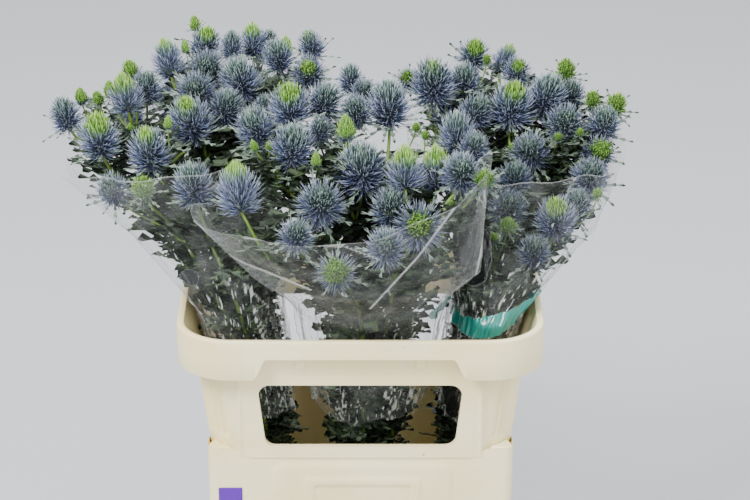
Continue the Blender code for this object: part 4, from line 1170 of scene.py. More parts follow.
@dataclass
class HeadShape:
    """How a flower head is grown: a core packed with curved spines over a star of bracts."""

    core: float = CORE_SHARE
    core_rows: int = 10
    core_sides: int = 14
    core_span: tuple[float, float] = (-1.0, 0.98)
    core_foot: float = 0.35
    # The core's outline: where it is widest, its two powers, and the least it goes to.
    widest: float = -0.08
    powers: tuple[float, float] = (2.6, 0.55)
    least: float = 0.02
    spines_at_5cm: int = 330
    fewest: int = 110
    most: int = 400
    rise: tuple[tuple[float, ...], ...] = (
        (0.0, 0.12, 0.4, 0.75, 1.0),
        (-0.30, 0.14, 0.60, 1.08, 1.48),
    )
    length: tuple[tuple[float, ...], ...] = (
        (0.0, 0.15, 0.6, 0.85, 1.0),
        (0.34, 0.42, 0.38, 0.32, 0.28),
    )
    spine_half: float = 0.0125
    under_share: float = 0.7
    under_size: float = 0.45
    bract_length: tuple[float, float] = (0.64, 0.88)
    bract_lift: tuple[float, float] = (-0.15, 0.45)
    bract_foot: float = 0.9
    bracts: tuple[int, int] = (8, 12)
    few_bracts: int = 6
    few_below: float = 0.02
    # Where spines stand: chance in each step and turn, share of the core's height, depth in it.
    step: tuple[float, float] = (0.2, 0.8)
    turn_spread: float = 0.10
    covered: float = 0.97
    sunk: float = 0.94
    small_widths: tuple[float, float] = (0.030, 0.018)
    # How they lean, in radians: chance, then what small and lime heads add.
    lean_spread: float = 0.14
    small_lean: float = 0.35
    lime_lean: float = 0.25
    way_spread: float = 0.07
    # Their length and thickness: chance, then what lime and small heads change.
    length_spread: tuple[float, float] = (0.8, 1.16)
    lime_short: float = 0.22
    lime_thick: float = 0.5
    small_thick: float = 0.9
    size_power: float = 0.3
    # Their bow, in lengths: where the middle is, how far it sinks and how far the tip rises.
    bow: tuple[float, float, float] = (0.55, 0.045, 0.10)
    middle_thick: float = 0.72
    # Their colour: how near the tip each corner is, then hue and tone as a mean and a spread.
    corner_tips: tuple[float, ...] = (0.12, 0.12, 0.12, 0.52, 0.52, 0.52, 1.0)
    under_tips: float = 0.72
    upper_from: float = 0.45
    upper_hue: float = 0.42
    small_hue: float = 0.1
    hue: tuple[float, float] = (0.13, 0.07)
    tone: tuple[float, float] = (0.5, 0.2)

    def grow(self, growth: Growth, head: Head, rng: np.random.Generator) -> None:
        """Grows one head.

        Args:
            growth: What it is added to.
            head: Its place, axis, width and lime share.
            rng: The source of chance.
        """
        self.grow_core(growth, head)
        number = int(np.clip(self.spines_at_5cm * head.width / 0.05, self.fewest, self.most))
        self.grow_spines(growth, head, rng, number, 1.0)
        self.grow_spines(growth, head, rng, int(number * self.under_share), self.under_size)
        self.grow_bracts(growth, head, rng)

    def profile(self, height: np.ndarray) -> np.ndarray:
        """The core's radius in shares at heights from -1 to 1."""
        inner, outer = self.powers
        return np.maximum(1.0 - np.abs(height - self.widest) ** inner, self.least) ** outer

    def directions(self, axis: np.ndarray, turns: np.ndarray) -> np.ndarray:
        """Directions square to the axis at the given angles."""
        first = unit(np.cross(axis, (0.31, 0.2, 0.93)))
        second = np.cross(axis, first)
        return np.cos(turns)[:, None] * first + np.sin(turns)[:, None] * second

    def young(self, head: Head, share: np.ndarray) -> np.ndarray:
        """How lime a head is at shares of its height."""
        return smooth(share, 1.02 - head.lime - 0.16, 1.06 - head.lime + 0.12) * min(
            1.0, head.lime * 4
        )

    def grow_core(self, growth: Growth, head: Head) -> None:
        """Adds the closed core that the spines stand on."""
        rows, sides = self.core_rows, self.core_sides
        heights = np.linspace(*self.core_span, rows)
        radius = head.width / 2 * self.core * self.profile(heights)
        radius[0] *= self.core_foot
        half = head.half
        turns = np.arange(sides) * 2 * math.pi / sides
        around = self.directions(head.axis, turns)
        rings = (
            head.centre
            + heights[:, None, None] * half * head.axis
            + radius[:, None, None] * around
        ).reshape(-1, 3)
        points = np.vstack([rings, head.centre - head.axis * half, head.centre + head.axis * half])
        faces = []
        for row in range(rows - 1):
            for side in range(sides):
                a, b = row * sides + side, row * sides + (side + 1) % sides
                faces += [(a, b, b + sides), (a, b + sides, a + sides)]
        low, high = rows * sides, rows * sides + 1
        for side in range(sides):
            after = (side + 1) % sides
            faces += [(low, after, side)]
            faces += [(high, (rows - 1) * sides + side, (rows - 1) * sides + after)]
        share = np.append(np.repeat((heights + 1) / 2, sides), (0.0, 1.0))
        lime = self.young(head, share)
        growth.add(points, np.array(faces), Fill.SPINE, 0.05 + 0.25 * lime, 0.3 + 0.7 * lime, 0.4)

    def grow_spines(
        self, growth: Growth, head: Head, rng: np.random.Generator, number: int, size: float
    ) -> None:
        """Adds spines in spiral order.

        Args:
            growth: What they are added to.
            head: The head.
            rng: The source of chance.
            number: How many.
            size: Their length against the longest sort's.
        """
        share = (np.arange(number) + rng.uniform(*self.step, number)) / number
        turns = np.arange(number) * GOLDEN_TURN + rng.normal(0, self.turn_spread, number)
        height = share * (2 * self.covered) - self.covered
        half = head.half
        out = self.directions(head.axis, turns)
        radius = head.width / 2 * self.core * self.profile(height) * self.sunk
        base = head.centre + height[:, None] * half * head.axis + radius[:, None] * out
        small = float(smooth(head.width, *self.small_widths))
        lime = self.young(head, share)
        angle = np.interp(share, *self.rise) + rng.normal(0, self.lean_spread, number)
        angle += self.small_lean * small
        angle += self.lime_lean * lime
        way = np.cos(angle)[:, None] * out + np.sin(angle)[:, None] * head.axis
        way = unit(way + rng.normal(0, self.way_spread, (number, 3)))
        length = head.width * np.interp(share, *self.length) * size
        length *= rng.uniform(*self.length_spread, number) * (1 - self.lime_short * lime)
        side, up = frames(way, head.axis)
        stout = 1 + self.lime_thick * lime + self.small_thick * small
        thick = head.width * self.spine_half * stout / size**self.size_power
        middle_at, dip, tip_rise = self.bow
        middle = base + way * (length * middle_at)[:, None] - up * (length * dip)[:, None]
        end = base + way * length[:, None] + up * (length * tip_rise)[:, None]
        offsets = []
        for turn in (math.pi / 2, math.pi * 7 / 6, math.pi * 11 / 6):
            offsets.append(math.cos(turn) * side + math.sin(turn) * up)
        rings = [base + way_out * thick[:, None] for way_out in offsets]
        rings += [middle + way_out * thick[:, None] * self.middle_thick for way_out in offsets]
        points = np.stack([*rings, end], axis=1).reshape(-1, 3)
        pattern = np.array([
            (0, 1, 4), (0, 4, 3), (1, 2, 5), (1, 5, 4), (2, 0, 3), (2, 3, 5),
            (3, 4, 6), (4, 5, 6), (5, 3, 6),
        ])
        corners = len(self.corner_tips)
        faces = (np.arange(number)[:, None, None] * corners + pattern).reshape(-1, 3)
        tips = np.tile(self.corner_tips, number)
        if size < 1:
            tips *= self.under_tips
        upper = smooth(share, self.upper_from, 1.0) * self.upper_hue + self.small_hue * small
        hue = np.clip(np.maximum(upper + rng.normal(*self.hue, number), lime), 0, 1)
        tone = np.clip(rng.normal(*self.tone, number), 0, 1)
        repeat = np.repeat(np.stack([hue, tone]), corners, axis=1)
        growth.add(points, faces, Fill.SPINE, tips, repeat[0], repeat[1])

    def grow_bracts(self, growth: Growth, head: Head, rng: np.random.Generator) -> None:
        """Adds the star of narrow toothed bracts under a head."""
        number = self.few_bracts
        if head.width > self.few_below:
            number = int(rng.integers(*self.bracts))
        half_core = head.axis * head.width * HEAD_SLENDER * CORE_LENGTH / 2
        foot = head.centre - half_core * self.bract_foot
        turns = np.arange(number) * 2 * math.pi / number + rng.uniform(0, 1) * 2
        out = self.directions(head.axis, turns + rng.normal(0, 0.12, number))
        for way_out in out:
            lift = rng.uniform(*self.bract_lift)
            way = unit(way_out * math.cos(lift) + head.axis * math.sin(lift))
            length = head.width * rng.uniform(*self.bract_length)
            Blade(half=0.030, teeth=4, bend=rng.uniform(-0.10, 0.12), tooth=2.7).grow(
                growth, foot, way, head.axis, length, 0.85 - 0.25 * head.lime, rng
            )


@dataclass
class Blade:
    """A narrow pointed blade with spiny teeth, folded along its midrib.

    half is its half width in lengths, teeth the number on each side, bend how far its tip falls.
    """

    half: float
    teeth: int
    bend: float
    tooth: float = 2.3

    def grow(
        self,
        growth: Growth,
        foot: np.ndarray,
        way: np.ndarray,
        up: np.ndarray,
        length: float,
        hue: float,
        rng: np.random.Generator,
    ) -> None:
        """Adds one blade.

        Args:
            growth: What it is added to.
            foot: Where it starts.
            way: The direction of its midrib.
            up: Roughly where its upper side faces.
            length: Its length.
            hue: 0 for a dark leaf and 1 for a pale bract.
            rng: The source of chance.
        """
        count = self.teeth
        rows = np.linspace(0.0, 1.0, count + 1)
        width = self.half * np.sin(np.clip(rows * 0.85 + 0.15, 0, 1) * math.pi) ** 0.7
        mids = np.stack([rows, rows * 0, rows * 0], axis=1)
        parts, tips, faces = [mids], [np.ones(count + 1)], []
        for sign in (-1, 1):
            start = sum(len(part) for part in parts)
            along, across, rise, value = [0.0], [width[0] * 0.5], [0.0], [0.5]
            for k in range(count):
                reach = rows[k] + (0.75 + rng.uniform(-0.15, 0.15)) / count
                along += [min(reach, 0.96), rows[k + 1]]
                across += [width[k] * self.tooth * rng.uniform(0.75, 1.15), width[k + 1] * 0.55]
                rise += [0.35 * width[k] * self.tooth, 0.1 * width[k + 1]]
                value += [0.8, 0.12]
                o = start + 2 * k
                for face in ((k, o, o + 1), (k, o + 1, o + 2), (k, o + 2, k + 1)):
                    faces.append(face if sign > 0 else face[::-1])
            across[-1], rise[-1] = 0.0, 0.0
            parts.append(np.stack([along, np.array(across) * sign, rise], axis=1))
            tips.append(np.array(value))
        local = np.vstack(parts)
        local[:, 2] -= self.bend * local[:, 0] ** 2
        side = unit(np.cross(up, way))
        over = np.cross(way, side)
        points = foot + length * (
            local[:, :1] * way + local[:, 1:2] * side + local[:, 2:] * over
        )
        tone = float(np.clip(rng.normal(0.5, 0.18), 0, 1))
        growth.add(points, np.array(faces), Fill.LEAF, np.concatenate(tips), hue, tone)


@dataclass
class Leaf:
    """A deeply cut leaf: a long middle lobe with shorter lobes fanned out at its sides."""

    lobes: tuple[tuple[float, float, float], ...] = (
        (0.0, 1.0, 0.0), (0.6, 0.76, 0.10), (-0.6, 0.76, 0.10),
    )

    def grow(
        self,
        growth: Growth,
        foot: np.ndarray,
        way: np.ndarray,
        up: np.ndarray,
        length: float,
        hue: float,
        rng: np.random.Generator,
    ) -> None:
        """Adds one leaf. The arguments are a blade's."""
        side = unit(np.cross(up, way))
        over = np.cross(way, side)
        for turn, share, start in self.lobes:
            turned = turn + rng.uniform(-0.15, 0.15)
            lobe = unit(way * math.cos(turned) + side * math.sin(turned) + over * 0.1)
            Blade(half=0.074, teeth=3, bend=rng.uniform(0.0, 0.3), tooth=2.8).grow(
                growth, foot + way * length * start, lobe, over, length * share, hue, rng
            )


@dataclass
class SprayPiece:
    """One stem with its twigs, leaves and heads, in place of its solid."""

    name: str
    spray: Spray
    arrangement: Arrangement
    finishes: list[bpy.types.Material]
    sides: int = 6
    steps: int = 5
    lowest_leaf: float = 0.235
    leaf_spacing: float = 0.0048
    narrow_below: float = 0.43
    narrow_share: float = 0.8
    stem_leaf: tuple[float, float] = (0.034, 0.068)
    fork_leaf: tuple[float, float] = (0.030, 0.050)
    twig_leaf: tuple[float, float] = (0.020, 0.036)

    def curve(self, chain: list[int]) -> np.ndarray:
        """A smooth line through the points of a chain."""
        knots = np.array([self.arrangement.points[index] for index in chain])
        padded = np.vstack([2 * knots[0] - knots[1], knots, 2 * knots[-1] - knots[-2]])
        line = []
        for k in range(len(knots) - 1):
            p0, p1, p2, p3 = padded[k : k + 4]
            for step in range(self.steps):
                t = step / self.steps
                line.append(
                    0.5
                    * (
                        2 * p1
                        + (p2 - p0) * t
                        + (2 * p0 - 5 * p1 + 4 * p2 - p3) * t**2
                        + (3 * p1 - p0 - 3 * p2 + p3) * t**3
                    )
                )
        line.append(knots[-1])
        return np.array(line)

    def tube(
        self, growth: Growth, line: np.ndarray, radii: np.ndarray, tone: float
    ) -> None:
        """Adds a smooth closed tube along a line.

        Args:
            growth: What it is added to.
            line: Its middle line.
            radii: Its radius at each point of the line.
            tone: Its tone value.
        """
        ways = unit(np.gradient(line, axis=0))
        side, up = frames(ways, np.array((0.9, 0.4, 0.05)))
        turns = np.arange(self.sides) * 2 * math.pi / self.sides
        rings = line[:, None] + radii[:, None, None] * (
            np.cos(turns)[None, :, None] * side[:, None]
            + np.sin(turns)[None, :, None] * up[:, None]
        )
        count = len(line)
        k = np.arange(self.sides)
        after = (k + 1) % self.sides
        faces = []
        for row in range(count - 1):
            low, high = row * self.sides, (row + 1) * self.sides
            faces.append(np.stack([low + k, low + after, high + after], axis=1))
            faces.append(np.stack([low + k, high + after, high + k], axis=1))
        ends = np.array([(0, i + 1, i) for i in range(1, self.sides - 1)])
        faces += [ends, ends[:, ::-1] + (count - 1) * self.sides]
        # Painted shade: stems darken from 0.60 m down to 0.25 m, inside the bucket, collar and film.
        hue = np.repeat(smooth(line[:, 2], 0.25, 0.60), self.sides)
        growth.add(rings.reshape(-1, 3), np.vstack(faces), Fill.STEM, 0.0, hue, tone)

    def fits(self, bunch: Bunch, tip: np.ndarray) -> bool:
        """Whether a leaf's tip stays inside the film, or is above its edge."""
        share = bunch.share(tip)
        edge = float(bunch.edge(math.atan2(share[1], share[0])))
        return bool(np.linalg.norm(share) < 0.96 or tip[2] > edge + 0.004)

    def add_leaf(
        self,
        growth: Growth,
        foot: np.ndarray,
        way: np.ndarray,
        length: float,
        hue: float,
        rng: np.random.Generator,
    ) -> None:
        """Adds a leaf, shortened until it fits in the sleeve.

        Args:
            growth: What it is added to.
            foot: Where it starts.
            way: Where it points.
            length: Its length.
            hue: Its hue value.
            rng: The source of chance.
        """
        bunch = BUNCHES[self.spray.bunch]
        for _ in range(5):
            if self.fits(bunch, foot + way * length):
                break
            length *= 0.75
            way = unit(way + np.array((0.0, 0.0, 0.25)))
        up = unit(np.array((0.0, 0.0, 1.0)) + rng.normal(0, 0.15, 3))
        Leaf().grow(growth, foot, way, up, length, hue, rng)

    def grow_leaves(self, growth: Growth, line: np.ndarray, rng: np.random.Generator) -> None:
        """Adds the leaves up a stem, from the film's foot to its highest fork."""
        heights = line[:, 2]
        top = heights[-1] - 0.03
        turn = rng.uniform(0, 6.28)
        for height in np.arange(self.lowest_leaf, top, self.leaf_spacing):
            where = [np.interp(height, heights, line[:, axis]) for axis in range(3)]
            turn += GOLDEN_TURN
            lift = rng.uniform(-0.1, 0.75)
            way = np.array((
                math.cos(turn) * math.cos(lift),
                math.sin(turn) * math.cos(lift),
                math.sin(lift),
            ))
            narrow = self.narrow_share if height < self.narrow_below else 1.0
            length = rng.uniform(*self.stem_leaf) * narrow
            self.add_leaf(growth, np.array(where), way, length, rng.uniform(0.0, 0.3), rng)

    def build(self, rng: np.random.Generator) -> bpy.types.Object:
        """Builds the piece and dresses it."""
        growth = Growth()
        shape = HeadShape()
        line = self.curve(self.spray.chain)
        share = np.linspace(0, 1, len(line))
        self.tube(growth, line, 0.0026 - 0.0010 * share, rng.uniform(0.35, 0.7))
        self.grow_leaves(growth, line, rng)
        shape.grow(growth, self.spray.main, rng)
        for twig in self.spray.twigs:
            branch = self.curve(twig.chain)
            thick = 0.0014 * np.clip(twig.head.width / 0.04, 0.6, 1.05)
            self.tube(growth, branch, np.full(len(branch), thick), rng.uniform(0.35, 0.8))
            whorl = rng.uniform(0, 6.28)
            for k in range(3):
                turn = whorl + k * 2.1
                way = unit(np.array((math.cos(turn), math.sin(turn), 0.45)))
                self.add_leaf(growth, branch[0], way, rng.uniform(*self.fork_leaf), 0.35, rng)
            for k in range(len(branch) // 5, len(branch) - 3, 3):
                way = unit(rng.normal(0, 1, 3) * (1, 1, 0.3) + (0, 0, 0.35))
                self.add_leaf(growth, branch[k], way, rng.uniform(*self.twig_leaf), 0.4, rng)
            shape.grow(growth, twig.head, rng)
        piece = growth.piece(self.name + "_plant", self.finishes)
        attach(piece, BODY)
        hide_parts(self.name)
        return piece


@dataclass
class SleevePiece:
    """A bunch's clear film sleeve: one thin sheet, gathered at the collar and open above."""

    bunch: Bunch
    finish: FilmFinish
    folds: tuple[tuple[tuple[float, float], ...], ...] = ()
    columns: int = 260
    rows: int = 110
    foot: float = 0.302
    pleats: int = 34
    waves: int = 26
    sharp: tuple[float, float] = (0.0006, 0.0022)
    fold_width: float = 1.6
    gathered: tuple[float, float] = (1.0, 0.25)
    inset: float = 0.002
    # Each pleat's chance: its drift and sway round the sleeve, width in radians, and rise.
    drift: tuple[float, float] = (-0.5, 0.5)
    drift_power: float = 1.5
    sway: float = 0.08
    sways: tuple[float, float] = (4, 12)
    pleat_width: tuple[float, float] = (0.025, 0.08)
    widening: tuple[float, float] = (0.6, 1.6)
    pleat_power: float = 1.4
    pleat_rise: tuple[float, float] = (0.001, 0.0035)
    # Each crease's chance: how many go round, how many go up, and its rise.
    creases_round: tuple[int, int] = (3, 15)
    creases_up: tuple[float, float] = (2, 15)
    crease_rise: tuple[float, float] = (0.0003, 0.0011)

    def wrinkle(self, turn: np.ndarray, up: np.ndarray, rng: np.random.Generator) -> np.ndarray:
        """How far the film stands out, in metres.

        Args:
            turn: The angle of each point.
            up: Its share of the height.
            rng: The source of chance.

        Returns:
            The distance at each point.
        """
        gather = smooth(up, *self.gathered)
        least, grown = self.widening
        rise = np.zeros_like(turn)
        for _ in range(self.pleats):
            where = rng.uniform(0, 2 * math.pi)
            drift = rng.uniform(*self.drift) * up**self.drift_power
            drift += self.sway * np.sin(up * rng.uniform(*self.sways))
            wide = rng.uniform(*self.pleat_width) * (least + grown * up)
            away = np.abs((turn - where - drift + math.pi) % (2 * math.pi) - math.pi)
            ridge = np.clip(1 - away / wide, 0, 1) ** self.pleat_power
            rise += ridge * rng.uniform(*self.pleat_rise) * gather * rng.choice((-1.0, 1.0, 1.0))
        for _ in range(self.waves):
            waves = rng.integers(*self.creases_round)
            tall = rng.uniform(*self.creases_up)
            lean = rng.uniform(0, 2 * math.pi)
            bend = 0.6 * np.sin(turn * rng.integers(1, 4) + rng.uniform(0, 6) + up * 4)
            wave = np.abs(np.sin((turn * waves + up * tall * rng.choice((-1, 1)) + lean + bend)))
            rise += (1 - wave) ** 3 * rng.uniform(*self.crease_rise) * (0.5 + 0.5 * gather)
        return rise - self.inset

    def build(self, rng: np.random.Generator) -> bpy.types.Object:
        """Builds the sheet and dresses it."""
        turns = np.linspace(0, 2 * math.pi, self.columns, endpoint=False)
        shares = np.linspace(0, 1, self.rows)
        turn, up = np.meshgrid(turns, shares)
        edge = self.bunch.edge(turn) + 0.003 * np.sin(turn * 5 + 1) + 0.002 * np.sin(turn * 11)
        foot = self.foot + 0.004 * np.sin(turn * 4) + 0.003 * np.sin(turn * 9 + 2)
        height = foot + up * (edge - foot)
        x, y, half_width, half_depth = self.bunch.row(height)
        out = self.wrinkle(turn, up, rng)
        points = np.stack(
            [
                x + (half_width + out) * np.cos(turn),
                y + (half_depth + out) * np.sin(turn),
                height,
            ],
            axis=-1,
        )
        bent = np.abs(
            4 * out
            - np.roll(out, 1, axis=1)
            - np.roll(out, -1, axis=1)
            - np.vstack([out[:1], out[:-1]])
            - np.vstack([out[1:], out[-1:]])
        )
        # The crease values paint highlights: at sharp bends, along the top edge and on the picture's
        # bright folds.
        crease = smooth(bent, *self.sharp)
        crease[-1] = 0.75
        crease[-2] = np.maximum(crease[-2], 0.25)
        crease = np.maximum(crease, self.drawn_fold_highlights(points, turn))
        index = np.arange(self.rows * self.columns).reshape(self.rows, self.columns)
        after = np.roll(index, -1, axis=1)
        faces = np.stack([index[:-1], after[:-1], after[1:], index[1:]], axis=-1).reshape(-1, 4)
        name = f"film_{self.bunch.name}"
        mesh = mesh_from(name, points.reshape(-1, 3), faces)
        store = mesh.attributes.new("crease", "FLOAT", "POINT")
        store.data.foreach_set("value", crease.ravel().astype(np.float32))
        mesh.materials.append(self.finish.build())
        piece = link_piece(name, mesh)
        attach(piece, BODY)
        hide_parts(f"sleeve_{self.bunch.name}")
        return piece

    def drawn_fold_highlights(self, points: np.ndarray, turn: np.ndarray) -> np.ndarray:
        """How near each point of the front lies to the bright folds that the picture shows, where a
        highlight is painted.

        Args:
            points: The sheet's points.
            turn: Their angles.

        Returns:
            1 on a drawn line, falling to 0 beside it.
        """
        seen = VIEW.pixels(points.reshape(-1, 3)).reshape(*turn.shape, 2)
        found = np.zeros_like(turn)
        for crease_highlight in self.folds:
            for start, end in zip(crease_highlight, crease_highlight[1:]):
                a, b = np.array(start), np.array(end)
                share = np.clip(((seen - a) @ (b - a)) / np.dot(b - a, b - a), 0, 1)
                away = np.linalg.norm(seen - a - share[..., None] * (b - a), axis=-1)
                found = np.maximum(found, np.exp(-((away / self.fold_width) ** 2)))
        return np.where(np.sin(turn) < 0.3, found, 0.0)


@dataclass(frozen=True)
class Level:
    """One level of a moulded wall: outer width and depth, corner radius and height."""

    width: float
    depth: float
    corner: float
    height: float

    def between(self, other: "Level", height: float) -> "Level":
        """The level at a height on a straight wall to another level."""
        share = (height - self.height) / (other.height - self.height)
        sizes = (other.width, other.depth, other.corner)
        pairs = zip((self.width, self.depth, self.corner), sizes)
        return Level(*(a + (b - a) * share for a, b in pairs), height)

    def inset(self, by: float, height: float | None = None) -> "Level":
        """This level, less a wall on each side, at its own or another height."""
        up = self.height if height is None else height
        corner = max(self.corner - by, 0.001)
        return Level(self.width - 2 * by, self.depth - 2 * by, corner, up)

    def loop(self, long: int, short: int, steps: int) -> tuple[np.ndarray, np.ndarray]:
        """Points round the level, counter-clockwise from the right side's front corner.

        Args:
            long: How many stretches a long side has.
            short: How many a short side has.
            steps: How many a corner has.

        Returns:
            Rows of x, y and z, and rows of outward directions.
        """
        points, ways = [], []
        half = np.array((self.width / 2, self.depth / 2))
        corners = ((1, -1), (1, 1), (-1, 1), (-1, -1))
        for quarter, sign in enumerate(corners):
            middle = np.array(sign) * (half - self.corner)
            for step in range(steps + 1):
                angle = math.pi / 2 * (quarter - 1 + step / steps)
                way = np.array((math.cos(angle), math.sin(angle)))
                points.append(middle + way * self.corner)
                ways.append(way)
            last = points[-1]
            after = np.array(corners[(quarter + 1) % 4])
            angle = math.pi / 2 * quarter
            way = np.array((math.cos(angle), math.sin(angle)))
            following = after * (half - self.corner) + way * self.corner
            count = long if quarter in (1, 3) else short
            for step in range(1, count):
                points.append(last + (following - last) * step / count)
                ways.append(way)
        flat = np.array(points)
        rise = np.full((len(flat), 1), self.height)
        return np.hstack([flat, rise]), np.array(ways)


class Moulding:
    """A closed plastic wall: loops that follow its section round, with relief on the outside."""

    def __init__(self, long: int, short: int, steps: int) -> None:
        """Starts with the number of stretches on long sides, short sides and corners."""
        self.grid = (long, short, steps)
        self.loops: list[np.ndarray] = []

    def add(self, level: Level, relief: object = None, lift: object = None) -> None:
        """Adds a loop.

        Args:
            level: Its level.
            relief: A function of points and outward directions: how far out they stand.
            lift: A function of points: how much higher they lie.
        """
        points, ways = level.loop(*self.grid)
        if relief is not None:
            points[:, :2] += ways * relief(points, ways)[:, None]
        if lift is not None:
            points[:, 2] += lift(points)
        self.loops.append(points)

    def object(self, name: str, closed: bool) -> bpy.types.Object:
        """Makes the object.

        Args:
            name: Its name.
            closed: Whether the last loop joins the first. Otherwise both are filled.

        Returns:
            The object, linked into the scene.
        """
        count = len(self.loops[0])
        points = np.vstack(self.loops)
        rows = len(self.loops)
        index = np.arange(rows * count).reshape(rows, count)
        lower = index if closed else index[:-1]
        upper = np.roll(index, -1, axis=0) if closed else index[1:]
        quads = np.stack(
            [lower, np.roll(lower, -1, axis=1), np.roll(upper, -1, axis=1), upper], axis=-1
        ).reshape(-1, 4)
        mesh = mesh_from(name, points, quads)
        if not closed:
            work = bmesh.new()
            work.from_mesh(mesh)
            bmesh.ops.holes_fill(work, edges=[e for e in work.edges if e.is_boundary])
            bmesh.ops.recalc_face_normals(work, faces=work.faces)
            work.to_mesh(mesh)
            work.free()
        return link_piece(name, mesh)


def sharpen(item: bpy.types.Object, degrees: float) -> None:
    """Shades a piece smooth, with edges sharper than this angle left crisp."""
    item.data.shade_smooth()
    item.data.set_sharp_from_angle(angle=math.radians(degrees))


def cut_out(item: bpy.types.Object, cutter: bpy.types.Object) -> None:
    """Takes a cutter's shape out of a piece for good, and deletes the cutter."""
    cut = item.modifiers.new("cut", "BOOLEAN")
    cut.object = cutter
    cut.operation = "DIFFERENCE"
    graph = bpy.context.evaluated_depsgraph_get()
    made = bpy.data.meshes.new_from_object(item.evaluated_get(graph))
    item.modifiers.clear()
    item.data = made
    bpy.data.objects.remove(cutter)


